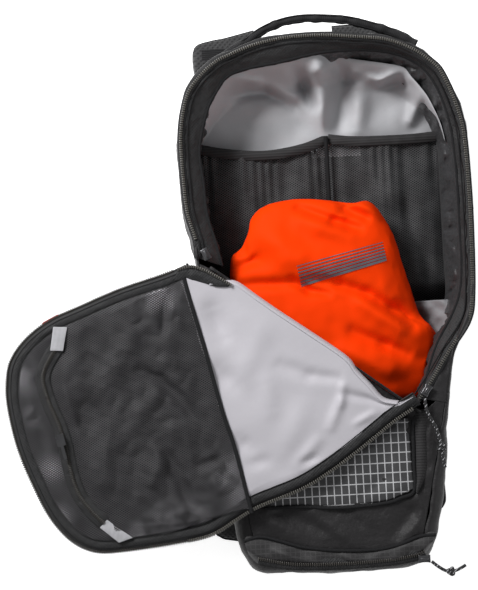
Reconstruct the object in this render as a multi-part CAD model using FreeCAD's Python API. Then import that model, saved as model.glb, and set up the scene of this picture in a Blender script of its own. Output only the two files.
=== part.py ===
import FreeCAD, Part
import math
import os

# Avalanche airbag backpack lying on its back, harness down, front flap open.
# Millimetres. +X is to the wearer's right, +Y towards the grab handle and +Z out
# of the front. The origin is the middle of the back's rest plane.

# ---- driving dimensions ----------------------------------------------------
HALF_LENGTH = 251.0        # half the height of the pack
SHOULDER_HALF = 130.0      # half width at mid height, shoulder part
SHOULDER_FLARE = 0.10      # how much wider per mm towards the top
BASE_HALF = 113.0          # the same for the narrower base part
BASE_FLARE = 0.068
WAIST_LOW, WAIST_HIGH = -75.0, -10.0
TOP_POWER, BASE_POWER = 3.0, 5.5
OUTLINE_POINTS = 48

WALL = 2.5                 # padded side wall
SHELL_FLOOR = 18.0         # back panel fabric, above the harness layer
RIM_HEIGHT = 128.0         # opening plane at mid height
RIM_TILT = 5.7             # degrees, deeper at the base than at the top
PANEL_DROP = 6.0           # degrees, lower front sinks away under the open flap
SIDE_PROFILE = [(0.0, 14.0), (8.0, 6.0), (27.0, 1.0), (72.0, 0.0), (150.0, 2.0)]

HINGE_LEFT = (-107.0, 41.6)
HINGE_RIGHT = (78.0, -102.0)
HINGE_LIFT = 10.0          # height of the fold line above the opening plane
FLAP_TRAVEL = 180.0 + PANEL_DROP
ZIP_INSET = 4.0            # zip line inside the pack's outline

SKIN = 2.5                 # fabric panel thickness used for the flap and front
LINING = 1.5
CHAIN_WIDTH = 3.2
CHAIN_HEIGHT = 3.0
FACING_WIDTH = 18.0        # dark facing tape inside the zip
FLAP_EDGE = 6.6            # flap fabric stops this far inside the zip line
FLAP_LOW = 5.5             # underside of the closed flap above the opening plane

POCKET_FLOOR, POCKET_MOUTH = -10.0, 152.0
POCKET_HALF = 112.0
POCKET_GAP = 3.0           # half the gap at the divider seam
POCKET_LOW, POCKET_HIGH = 36.0, 61.0
MESH = 1.2

CORD = 3.0                 # pull cord diameter
STRAP_LOW, STRAP_HIGH = 6.5, 15.5

os.makedirs("parts", exist_ok=True)
Vector = FreeCAD.Vector


# ---- helpers ---------------------------------------------------------------
def write(name, *solids):
    shape = solids[0] if len(solids) == 1 else Part.makeCompound(list(solids))
    shape.exportStep("parts/" + name + ".step")
    box = shape.BoundBox
    print(f"{name:22s} {shape.Volume / 1000:9.2f} cm3  x {box.XMin:7.1f} {box.XMax:7.1f}"
          f"  y {box.YMin:7.1f} {box.YMax:7.1f}  z {box.ZMin:6.1f} {box.ZMax:6.1f}"
          f"  solids {len(shape.Solids)} valid {shape.isValid()}")
    return shape


def block(x, y, z):
    """A box from pairs of limits."""
    return Part.makeBox(x[1] - x[0], y[1] - y[0], z[1] - z[0], Vector(x[0], y[0], z[0]))


def round_bar(start, end, radius):
    along = end - start
    return Part.makeCylinder(radius, along.Length, start, along)


def soft_block(x, y, z, radius):
    """A box whose upright edges are rounded."""
    shape = block(x, y, z)
    upright = [e for e in shape.Edges if abs(e.tangentAt(e.FirstParameter).z) > 0.9]
    return shape.makeFillet(radius, upright)


def smoothstep(low, high, value):
    t = min(1.0, max(0.0, (value - low) / (high - low)))
    return t * t * (3.0 - 2.0 * t)


def half_width(y):
    base = BASE_HALF + BASE_FLARE * y
    top = SHOULDER_HALF + SHOULDER_FLARE * y
    return base + (top - base) * smoothstep(WAIST_LOW, WAIST_HIGH, y)


def outline_point(angle, inset):
    """The pack's superellipse outline, squarer at the base than at the top."""
    cosine, sine = math.cos(angle), math.sin(angle)
    power = TOP_POWER if sine >= 0 else BASE_POWER
    y = math.copysign(abs(sine) ** (2 / power), sine) * (HALF_LENGTH - inset)
    x = math.copysign(abs(cosine) ** (2 / power), cosine) * (half_width(y) - inset)
    return Vector(x, y, 0)


def outline_wire(inset, z):
    step = 2 * math.pi / OUTLINE_POINTS
    points = [outline_point((i + 0.5) * step, inset) for i in range(OUTLINE_POINTS)]
    curve = Part.BSplineCurve()
    curve.interpolate(Points=[Vector(p.x, p.y, z) for p in points], PeriodicFlag=True)
    return Part.Wire(curve.toShape())


def lofted(profile, extra_inset, lift):
    wires = [outline_wire(inset + extra_inset, SHELL_FLOOR + rise + lift) for rise, inset in profile]
    return Part.makeLoft(wires, True, True)


def slab(face, low, high):
    """A flat face in the XY plane, thickened from low to high."""
    shape = face.copy()
    shape.translate(Vector(0, 0, low))
    return shape.extrude(Vector(0, 0, high - low))


def polygon(points):
    corners = [Vector(x, y, 0) for x, y in points]
    return Part.Face(Part.makePolygon(corners + corners[:1]))


def strip(points, width):
    """A flat band of constant width along a smooth line of (x, y) points."""
    curve = Part.BSplineCurve()
    curve.interpolate(Points=[Vector(x, y, 0) for x, y in points])
    low, high = curve.FirstParameter, curve.LastParameter
    count = 6 * len(points)
    sides = ([], [])
    for i in range(count + 1):
        t = low + (high - low) * i / count
        along = curve.tangent(t)[0]
        across = Vector(-along.y, along.x, 0) * (width / 2)
        sides[0].append(curve.value(t) + across)
        sides[1].append(curve.value(t) - across)
    edges = []
    for side in sides:
        edge = Part.BSplineCurve()
        edge.interpolate(Points=side)
        edges.append(edge.toShape())
    ends = [Part.makeLine(sides[0][0], sides[1][0]), Part.makeLine(sides[0][-1], sides[1][-1])]
    return Part.Face(Part.Wire(Part.__sortEdges__(edges + ends)))


# The opening plane carries its own x, y and h. x and y match the pack's.
TO_RIM = FreeCAD.Placement(Vector(0, 0, RIM_HEIGHT), FreeCAD.Rotation(Vector(1, 0, 0), -RIM_TILT))
HINGE_A = Vector(HINGE_LEFT[0], HINGE_LEFT[1], 0)
HINGE_DIR = Vector(HINGE_RIGHT[0] - HINGE_LEFT[0], HINGE_RIGHT[1] - HINGE_LEFT[1], 0).normalize()
BELOW = Vector(HINGE_DIR.y, -HINGE_DIR.x, 0)      # in the plane, away from the opening


def turned(shape, angle, height):
    """Turn about the fold line, taken at a height above the opening plane."""
    shape = shape.copy()
    shape.rotate(HINGE_A + Vector(0, 0, height), HINGE_DIR, angle)
    return shape


def on_rim(shape):
    shape = shape.copy()
    shape.Placement = TO_RIM.multiply(shape.Placement)
    return shape


def on_panel(shape):
    return on_rim(turned(shape, PANEL_DROP, 0))


def as_open(shape):
    """Flap pieces are drawn closed, then turned to the open rest pose."""
    return on_rim(turned(shape, FLAP_TRAVEL, HINGE_LIFT))


def half_plane(gap, above):
    """Everything above (towards the handle) or below the fold line, gap away from it."""
    side = -1 if above else 1
    start = HINGE_A - HINGE_DIR * 600 + BELOW * (side * gap)
    corners = [start, start + HINGE_DIR * 1500]
    corners += [corners[1] + BELOW * (side * 900), start + BELOW * (side * 900)]
    face = Part.Face(Part.makePolygon(corners + corners[:1]))
    return slab(face, -200, 200)


def opening_points():
    """The zip line: up the left taper, round the shoulders and down the right taper."""
    left = [HINGE_LEFT, (-113, 52), (-120, 67), (-126.5, 85), (-131, 104)]
    arch = [outline_point(math.radians(a), ZIP_INSET) for a in range(158, 6, -8)]
    right = [(126.5, -9), (119, -28), (106, -50), (93, -69), (82, -86), HINGE_RIGHT]
    return left + [(p.x, p.y) for p in arch] + right


def opening_face(inset, above=0.0):
    """The opening inset from the zip line, cut off above the fold line."""
    points = [Vector(x, y, 0) for x, y in opening_points()]
    moved = []
    for i, point in enumerate(points):
        before, after = points[max(i - 1, 0)], points[min(i + 1, len(points) - 1)]
        along = (after - before).normalize()
        moved.append(point + Vector(along.y, -along.x, 0) * inset)
    moved[0] = moved[0] + (moved[0] - moved[1]) * 0.6
    moved[-1] = moved[-1] + (moved[-1] - moved[-2]) * 0.6
    curve = Part.BSplineCurve()
    curve.interpolate(Points=moved)
    chord = Part.makeLine(moved[-1], moved[0])
    face = Part.Face(Part.Wire([curve.toShape(), chord]))
    return face.common(half_plane(above, True))


def opening_slab(outer, inner, low, high, above=0.0):
    shape = slab(opening_face(outer, above), low, high)
    if inner is not None:
        shape = shape.cut(slab(opening_face(inner, above), low - 1, high + 1))
    return shape


def pack_outline_slab(inset, low, high):
    return slab(Part.Face(outline_wire(inset, 0)), low, high)


# ---- shell and front -------------------------------------------------------
def body_shell():
    outer = lofted(SIDE_PROFILE, 0, 0)
    inner = lofted(SIDE_PROFILE, WALL, WALL)
    above_rim = on_rim(half_plane(0, True).common(block((-900, 900), (-900, 900), (0, 190))))
    above_panel = on_panel(half_plane(0, False).common(block((-900, 900), (-900, 900), (0, 190))))
    wedge = on_rim(half_plane(-2, False).common(block((-900, 900), (-900, 900), (0, 190))))
    return outer.cut(inner).cut(above_rim).cut(above_panel).cut(wedge)


def opening_surround():
    """Seam band and facing tape round the opening, with the right shoulder panel."""
    sheet = pack_outline_slab(1.0, 0.1, 2.0).common(half_plane(1, True))
    return on_rim(sheet.cut(slab(opening_face(FACING_WIDTH, -40), -5, 5)))


def lower_front_panel():
    sheet = pack_outline_slab(1.0, 0.1, SKIN).common(half_plane(1, False))
    return on_panel(sheet)


def main_zip_chain():
    return on_rim(opening_slab(-0.8, -0.8 + CHAIN_WIDTH, 2.0, 2.0 + CHAIN_HEIGHT, 14.0))


GRID_POCKET = [(-72, -182), (40, -190), (67, -180), (67, -106), (-20, -70), (-72, -40)]


def grid_pocket():
    return on_panel(slab(polygon(GRID_POCKET), SKIN, SKIN + 3).common(half_plane(4, False)))


def side_zip_cover():
    return on_panel(slab(polygon([(71, -178), (84, -178), (84, -112), (71, -108)]), SKIN, SKIN + 3.5))


BASE_SEAM = [(-140, -200), (-84, -209), (-3, -226), (82, -212), (140, -203), (140, -300), (-140, -300)]


def base_panel():
    sheet = pack_outline_slab(3.0, SKIN, SKIN + 2.5)
    return on_panel(sheet.common(slab(polygon(BASE_SEAM), 0, 20)))


BASE_ZIP_LEFT, BASE_ZIP_RIGHT, BASE_ZIP_Y = -62.0, 84.0, -235.0
BASE_ZIP_LOW = SKIN + 2.5


def base_zip_chain():
    line = block((BASE_ZIP_LEFT, BASE_ZIP_RIGHT), (BASE_ZIP_Y - 1.6, BASE_ZIP_Y + 1.6),
                 (BASE_ZIP_LOW, BASE_ZIP_LOW + CHAIN_HEIGHT))
    return on_panel(line)


# ---- inside ----------------------------------------------------------------
FRAME_SHEET = (21.0, 23.0)
STAY_HEIGHTS = (23.0, 26.0)
STAY_X = 42.0
STAY_SPAN = (-200, 205)
ELECTRONICS_LOW = 26.4     # clear of the stays
CAPACITOR_TOP = 58.0
ELECTRONICS_SPAN = (-196, -120)


def inside_plate(inset, z_low, z_high, y_low, y_high):
    plate = pack_outline_slab(inset, z_low, z_high)
    return plate.common(block((-200, 200), (y_low, y_high), (0, 200)))


def mesh_pocket(side):
    inner_x, outer_x = POCKET_GAP, POCKET_HALF
    x = (inner_x, outer_x) if side > 0 else (-outer_x, -inner_x)
    outer = block(x, (POCKET_FLOOR, POCKET_MOUTH), (POCKET_LOW, POCKET_HIGH))
    hollow = block((x[0] + MESH, x[1] - MESH), (POCKET_FLOOR + MESH, POCKET_MOUTH + 5),
                   (POCKET_LOW - 1, POCKET_HIGH - MESH))
    return outer.cut(hollow)


def pocket_hem(side):
    x = (POCKET_GAP, POCKET_HALF) if side > 0 else (-POCKET_HALF, -POCKET_GAP)
    return block(x, (POCKET_MOUTH - 10, POCKET_MOUTH), (POCKET_HIGH, POCKET_HIGH + 3))


AIRBAG = [(-90, 44), (-84, 60), (-68, 87), (-45, 99), (0, 101), (41, 98), (64, 60), (80, 0),
          (93, -35), (90, -62), (80, -84), (56, -92), (0, -98), (-50, -84), (-86, -30)]
AIRBAG_LEVELS = [(66.0, 0.80), (76.0, 0.97), (92.0, 1.0), (104.0, 0.93), (112.0, 0.74)]


def airbag_bundle():
    middle_x, middle_y = 3.0, 4.0
    wires = []
    for z, scale in AIRBAG_LEVELS:
        ring = [Vector(middle_x + (x - middle_x) * scale, middle_y + (y - middle_y) * scale, z)
                for x, y in AIRBAG]
        curve = Part.BSplineCurve()
        curve.interpolate(Points=ring, PeriodicFlag=True)
        wires.append(Part.Wire(curve.toShape()))
    return Part.makeLoft(wires, True, True)


BULKHEAD_Y = -106.0
DUCT_X, DUCT_Z, DUCT_RADIUS = 0.0, 53.0, 15.0
FAN_CENTRE = (0.0, -172.0)
FAN_RADIUS, FAN_LOW, FAN_HIGH = 40.0, 32.0, 70.0
FAN_SHAFT = 4.0


def bulkhead():
    reach = half_width(BULKHEAD_Y)
    plate = block((-reach, reach), (BULKHEAD_Y - 3, BULKHEAD_Y), (26.2, 98))
    plate = plate.common(lofted(SIDE_PROFILE, WALL + 0.6, WALL + 0.6))
    hole = round_bar(Vector(DUCT_X, BULKHEAD_Y - 10, DUCT_Z), Vector(DUCT_X, BULKHEAD_Y + 10, DUCT_Z),
                     DUCT_RADIUS)
    return plate.cut(hole)


def air_duct():
    start = Vector(DUCT_X, FAN_CENTRE[1] + FAN_RADIUS - 4, DUCT_Z)
    end = Vector(DUCT_X, BULKHEAD_Y + 8, DUCT_Z)
    tube = round_bar(start, end, DUCT_RADIUS).cut(round_bar(start, end, DUCT_RADIUS - 2))
    fan = Part.makeCylinder(FAN_RADIUS, 200, Vector(*FAN_CENTRE, 0))
    return tube.cut(fan)


def fan_cylinder(radius, low, high):
    return Part.makeCylinder(radius, high - low, Vector(*FAN_CENTRE, low))


def blower_housing():
    shell = fan_cylinder(FAN_RADIUS, FAN_LOW, FAN_HIGH)
    cavity = fan_cylinder(FAN_RADIUS - 2.5, FAN_LOW + 2.5, FAN_HIGH - 2.5)
    inlet = fan_cylinder(17, FAN_HIGH - 5, FAN_HIGH + 5)
    outlet = round_bar(Vector(DUCT_X, FAN_CENTRE[1], DUCT_Z), Vector(DUCT_X, BULKHEAD_Y, DUCT_Z),
                       DUCT_RADIUS - 2)
    return shell.cut(cavity).cut(inlet).cut(outlet)


def blower_motor():
    can = fan_cylinder(12, FAN_LOW + 2.5, FAN_LOW + 14)
    return can.fuse(fan_cylinder(FAN_SHAFT, FAN_LOW + 10, FAN_HIGH - 6))


def impeller():
    disc = fan_cylinder(32, FAN_LOW + 15, FAN_LOW + 17)
    hub = fan_cylinder(9, FAN_LOW + 15, FAN_LOW + 28)
    wheel = disc.fuse(hub)
    blade = block((FAN_CENTRE[0] + 15, FAN_CENTRE[0] + 31), (FAN_CENTRE[1] - 0.9, FAN_CENTRE[1] + 0.9),
                  (FAN_LOW + 16, FAN_LOW + 30))
    blades = []
    for i in range(9):
        one = blade.copy()
        one.rotate(Vector(FAN_CENTRE[0] + 15, FAN_CENTRE[1], 0), Vector(0, 0, 1), 35)
        one.rotate(Vector(*FAN_CENTRE, 0), Vector(0, 0, 1), 40 * i)
        blades.append(one)
    wheel = wheel.fuse(blades)
    return wheel.cut(fan_cylinder(FAN_SHAFT + 0.05, FAN_LOW, FAN_HIGH))


BUTTON_CENTRE = (61.0, -150.0)
MODULE_TOP = 62.0
BUTTON_RADIUS = 7.0


def control_module():
    case = soft_block((43, 79), ELECTRONICS_SPAN, (ELECTRONICS_LOW, MODULE_TOP), 6)
    well = Part.makeCylinder(BUTTON_RADIUS + 0.4, 6, Vector(*BUTTON_CENTRE, MODULE_TOP - 5))
    return case.cut(well)


def power_button():
    return Part.makeCylinder(BUTTON_RADIUS, 5, Vector(*BUTTON_CENTRE, MODULE_TOP - 2.5))


def cable_grommet():
    ring = Part.makeCylinder(8, 5, Vector(72, 218, 36))
    return ring.cut(Part.makeCylinder(4.5, 9, Vector(72, 218, 34)))


# ---- flap ------------------------------------------------------------------
def flap_panel():
    return as_open(opening_slab(FLAP_EDGE, None, FLAP_LOW + LINING, FLAP_LOW + LINING + SKIN, 2.0))


def flap_edge_band():
    return as_open(opening_slab(FLAP_EDGE, FLAP_EDGE + 12, FLAP_LOW, FLAP_LOW + LINING, 3.0))


def flap_lining():
    return as_open(opening_slab(FLAP_EDGE + 12, None, FLAP_LOW, FLAP_LOW + LINING, 3.0))


def flap_zip_chain():
    outer = FLAP_EDGE - 0.4 - CHAIN_WIDTH
    return as_open(opening_slab(outer, outer + CHAIN_WIDTH, 2.5, 2.5 + CHAIN_HEIGHT, 31.0))


MESH_EDGE_NEAR, MESH_EDGE_FAR = 26.0, 150.0     # distance of the mesh's edge from the fold
MESH_DEPTH = 7.0


def mesh_side(gap):
    """The part of the flap beyond the slanting inner edge of its mesh pocket."""
    start = HINGE_A - BELOW * (MESH_EDGE_NEAR + gap) - HINGE_DIR * 40
    slope = BELOW * ((MESH_EDGE_FAR - MESH_EDGE_NEAR) / 200.0)
    end = start + (HINGE_DIR - slope) * 400
    corners = [start, end, end - BELOW * 600, start - BELOW * 600]
    return slab(Part.Face(Part.makePolygon(corners + corners[:1])), -50, 50)


def flap_mesh_pocket():
    bottom = FLAP_LOW - MESH_DEPTH
    outer = opening_slab(FACING_WIDTH + 6, None, bottom, FLAP_LOW, 12).common(mesh_side(0))
    hollow = opening_slab(FACING_WIDTH + 6 + MESH, None, bottom + MESH, FLAP_LOW + 1, 12)
    return as_open(outer.cut(hollow.common(mesh_side(2 * MESH))))


def mirrored_in_fold(x, y):
    """A place on the open flap, taken back to where it lies when closed."""
    point = Vector(x, y, 0)
    away = (point - HINGE_A).dot(BELOW)
    closed = point - BELOW * (2 * away)
    return closed.x, closed.y


POCKET_ZIP = [(-262, -28), (-269, -52), (-263, -76), (-256, -108), (-249, -138), (-240, -160)]
POCKET_ZIP_LOW = FLAP_LOW - MESH_DEPTH - 2.0


def flap_pocket_zip():
    line = [mirrored_in_fold(x, y) for x, y in POCKET_ZIP]
    return as_open(slab(strip(line, 4.0), POCKET_ZIP_LOW, POCKET_ZIP_LOW + 2.0))


EDGE_TAB = (-114.0, 194.0)
EDGE_TAB_HEADING = 72.0


def flap_edge_tab():
    low = FLAP_LOW + LINING + SKIN
    shape = block((-8, 8), (-5, 5), (low, low + 1.2))
    shape.rotate(Vector(0, 0, 0), Vector(0, 0, 1), EDGE_TAB_HEADING)
    shape.translate(Vector(*EDGE_TAB, 0))
    return as_open(shape)


def flap_pocket_slider():
    x, y = -256.0, -108.0
    cx, cy = mirrored_in_fold(x, y)
    plate = block((-4.0, 4.0), (-5.5, 5.5), (POCKET_ZIP_LOW - 2.9, POCKET_ZIP_LOW - 0.4))
    tab = block((-1.5, 1.5), (5.5, 18.0), (POCKET_ZIP_LOW - 2.9, POCKET_ZIP_LOW - 1.6))
    shape = plate.fuse(tab)
    ends = [mirrored_in_fold(*POCKET_ZIP[2]), mirrored_in_fold(*POCKET_ZIP[4])]
    turn = math.degrees(math.atan2(ends[1][1] - ends[0][1], ends[1][0] - ends[0][0])) - 90
    shape.rotate(Vector(0, 0, 0), Vector(0, 0, 1), turn)
    shape.translate(Vector(cx, cy, 0))
    return as_open(shape)


# ---- sliders and their pulls ------------------------------------------------
SLIDER_LOW = 5.7
SLIDER_WIDE = 7.6


def slider_block(x, y, heading, low, length=11.0):
    """A zip slider: body plate with a raised bridge, its length along the heading."""
    plate = soft_block((-length / 2, length / 2), (-SLIDER_WIDE / 2, SLIDER_WIDE / 2), (low, low + 2.4), 1.8)
    bridge = block((-3.5, 3.5), (-1.2, 1.2), (low + 2.4, low + 4.4))
    shape = plate.fuse(bridge)
    shape.rotate(Vector(0, 0, 0), Vector(0, 0, 1), heading)
    shape.translate(Vector(x, y, 0))
    return shape


RIGHT_SLIDER = (82.8, -81.5)
RIGHT_HEADING = 56.0
LEFT_SLIDER = (-113.2, 56.0)
LEFT_HEADING = 115.0
BASE_SLIDER = (72.0, BASE_ZIP_Y)


def pull_cord(points, name):
    """A cord tube of straight runs joined by tangent arcs as large as the runs allow."""
    corners = [Vector(*p) for p in points]
    runs = [(b - a).Length for a, b in zip(corners, corners[1:])]
    edges, here, radii = [], corners[0], []
    for i in range(1, len(corners) - 1):
        back = (corners[i - 1] - corners[i]).normalize()
        ahead = (corners[i + 1] - corners[i]).normalize()
        turn = math.pi - back.getAngle(ahead)
        cut = 0.45 * min(runs[i - 1], runs[i])
        radius = cut / math.tan(turn / 2)
        radii.append(round(radius, 1))
        start, end = corners[i] + back * cut, corners[i] + ahead * cut
        bisector = (back + ahead).normalize()
        centre = corners[i] + bisector * (radius / math.cos(turn / 2))
        middle = centre - bisector * radius
        edges.append(Part.LineSegment(here, start).toShape())
        edges.append(Part.Arc(start, middle, end).toShape())
        here = end
    edges.append(Part.LineSegment(here, corners[-1]).toShape())
    path = Part.Wire(edges)
    first = (corners[1] - corners[0]).normalize()
    section = Part.Wire(Part.makeCircle(CORD / 2, corners[0], first))
    tube = path.makePipeShell([section], True, False)
    ratio = tube.Volume / (math.pi * CORD ** 2 / 4 * path.Length)
    print(f"{name} length {path.Length:.1f} radii {radii} volume ratio {ratio:.4f}")
    return tube


# Each pull is one soft cord: out of the slider's bridge, through its knot, to a bare tail.
def world(x, y, h, panel=False):
    point = Vector(x, y, h)
    if panel:
        turn = FreeCAD.Rotation(HINGE_DIR, PANEL_DROP)
        point = HINGE_A + turn.multVec(point - HINGE_A)
    point = TO_RIM.multVec(point)
    return point.x, point.y, point.z


RIGHT_CORD = [(80.6, -89.0, 9.6), (80.4, -98.0, 9.6), (84.2, -107.0, 9.6), (89.0, -115.6, 9.2),
              (91.2, -125.0, 8.6), (93.4, -134.4, 7.8), (94.0, -144.0, 7.0), (95.4, -153.0, 6.2)]
BASE_CORD = [(78.4, -237.4, 12.2), (84.6, -243.0, 12.2), (92.4, -247.8, 10.8), (101.4, -247.4, 9.0),
             (109.4, -242.6, 8.0)]
KNOT = 8.0
KNOT_SPREAD = 1.4


def overhand_knot(centre, along):
    """Two round lobes of the knot, side by side across the cord."""
    centre, along = Vector(*centre), Vector(*along).normalize()
    across = Vector(-along.y, along.x, 0).normalize()
    lobe = Part.makeSphere(KNOT / 2, centre + across * KNOT_SPREAD)
    return lobe.fuse(Part.makeSphere(KNOT / 2, centre - across * KNOT_SPREAD))


def pull_knot(route, index):
    centre = [(a + b) / 2 for a, b in zip(route[index], route[index + 1])]
    along = [b - a for a, b in zip(route[index], route[index + 1])]
    return overhand_knot(centre, along)


# ---- grab handle -------------------------------------------------------------
HANDLE_ENDS = ((-84.0, 244.0), (88.0, 245.0))
HANDLE_TOP = (2.0, 270.0)
HANDLE_Z = 92.0
HANDLE_RADIUS = 4.5


def grab_handle():
    arc = Part.Arc(Vector(*HANDLE_ENDS[0], HANDLE_Z), Vector(*HANDLE_TOP, HANDLE_Z),
                   Vector(*HANDLE_ENDS[1], HANDLE_Z))
    edge = arc.toShape()
    section = Part.makeCircle(HANDLE_RADIUS, edge.valueAt(edge.FirstParameter),
                              edge.tangentAt(edge.FirstParameter))
    return Part.Wire(edge).makePipeShell([Part.Wire(section)], True, False)


def handle_anchor(x, y):
    """Webbing tab sewn flat on the shell wall below the handle's end."""
    patch = block((x - 12, x + 12), (y - 22, y + 12), (HANDLE_Z - 26, HANDLE_Z - HANDLE_RADIUS - 0.5))
    return lofted(SIDE_PROFILE, -2.0, 0).common(patch).cut(lofted(SIDE_PROFILE, 0, 0))


# ---- harness underneath --------------------------------------------------------
def strap_outline(side, shift):
    """Half the S-shaped shoulder strap as a closed smooth outline."""
    line = [(-82, 252), (-84, 200), (-88, 140), (-90, 80), (-86, 30), (-80, -14)]
    widths = [54, 56, 56, 52, 44, 36]
    line = [(x * side + shift, y) for x, y in line]
    left = [Vector(x - w / 2, y, 0) for (x, y), w in zip(line, widths)]
    right = [Vector(x + w / 2, y, 0) for (x, y), w in zip(line, widths)]
    edges = []
    for side_points in (left, right):
        edge = Part.BSplineCurve()
        edge.interpolate(Points=side_points)
        edges.append(edge.toShape())
    edges += [Part.makeLine(left[0], right[0]), Part.makeLine(left[-1], right[-1])]
    return Part.Face(Part.Wire(Part.__sortEdges__(edges)))


STRAPS = {"left": (1, 0.0), "right": (-1, -16.0)}      # mirrored, set in a little on the right


def strap_x(name, y):
    side, shift = STRAPS[name]
    return {252: -82, 80: -90, -14: -80}[y] * side + shift


def shoulder_strap(name):
    pad = slab(strap_outline(*STRAPS[name]), STRAP_LOW, STRAP_HIGH - 0.4)
    x = strap_x(name, 252)
    fold = block((x - 27, x + 27), (252, 260), (STRAP_LOW, STRAP_HIGH - 0.4))
    return pad.fuse(fold)


def strap_anchor(name):
    """The strap's sewn end on the back panel, up to the fold."""
    x = strap_x(name, 252)
    return block((x - 27, x + 27), (190, 258), (STRAP_HIGH, SHELL_FLOOR - 0.2))


LOCK_Y = -14.0
WEBBING_END = -158.0


def ladder_lock(name):
    x = strap_x(name, -14)
    frame = soft_block((x - 17, x + 17), (LOCK_Y - 24, LOCK_Y - 0.5), (7.0, 12.5), 3)
    for low, high in ((LOCK_Y - 9, LOCK_Y - 5), (LOCK_Y - 19, LOCK_Y - 14)):
        frame = frame.cut(block((x - 13, x + 13), (low, high), (0, 20)))
    return frame


def lower_webbing(name):
    x = strap_x(name, -14)
    return block((x - 12.5, x + 12.5), (WEBBING_END, LOCK_Y - 25.5), (11.0, 12.6))


def sternum_half(name):
    """Sternum strap half: rail clip on the shoulder strap, webbing and its buckle half."""
    x = strap_x(name, 80)
    toward = 1 if x < 0 else -1
    clip = soft_block((x - 11, x + 11), (71, 89), (2.6, STRAP_LOW - 0.4), 2)
    reach = sorted((x + toward * 10, toward * -30))
    web = block(reach, (73, 87), (3.0, 4.4))
    buckle_x = sorted((toward * -30, toward * -50))
    buckle = soft_block(buckle_x, (69, 91), (1.6, 6.0), 3)
    return clip.fuse([web, buckle])


TRIGGER_X, TRIGGER_TOP = -87.0, 56.0


def trigger_handle():
    """Release handle tucked against the left strap."""
    grip = soft_block((TRIGGER_X - 11, TRIGGER_X + 11), (TRIGGER_TOP - 62, TRIGGER_TOP), (1.4, 6.1), 5)
    finger = soft_block((TRIGGER_X - 5.5, TRIGGER_X + 5.5), (TRIGGER_TOP - 50, TRIGGER_TOP - 22), (0, 9), 4)
    return grip.cut(finger)


# Stowed wings: the left one spreads out past the base, the right one is folded in under it.
WINGS = {"left": ((-122.0, -61.0), (-224.0, -168.0)), "right": ((58.0, 106.0), (-208.0, -158.0))}
WING_LOW, WING_HIGH = 1.6, 10.6
BUCKLE_LENGTH, BUCKLE_HALF, BUCKLE_THICK = 40.0, 15.0, 4.6
BUCKLE_GAP = 6.0           # from the wing's root to the buckle


def hip_wing(side):
    x, span = WINGS[side]
    return soft_block(x, span, (WING_LOW, WING_HIGH), 14)


def hip_buckle(side):
    """Tongue on the left wing, socket on the right, each flat on top of its wing."""
    (left, right), span = WINGS[side]
    middle = sum(span) / 2
    low = left + BUCKLE_GAP if side == "right" else right - BUCKLE_GAP - BUCKLE_LENGTH
    body = soft_block((low, low + BUCKLE_LENGTH), (middle - BUCKLE_HALF, middle + BUCKLE_HALF),
                      (WING_HIGH, WING_HIGH + BUCKLE_THICK), 4)
    if side == "right":
        mouth = block((low - 1, low + 22), (middle - 10, middle + 10), (WING_HIGH + 1.2, WING_HIGH + 3.4))
        return body.cut(mouth)
    high = low + BUCKLE_LENGTH
    return body.cut(block((high - 16, high + 1), (middle - 5, middle + 5), (0, 30)))


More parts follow.
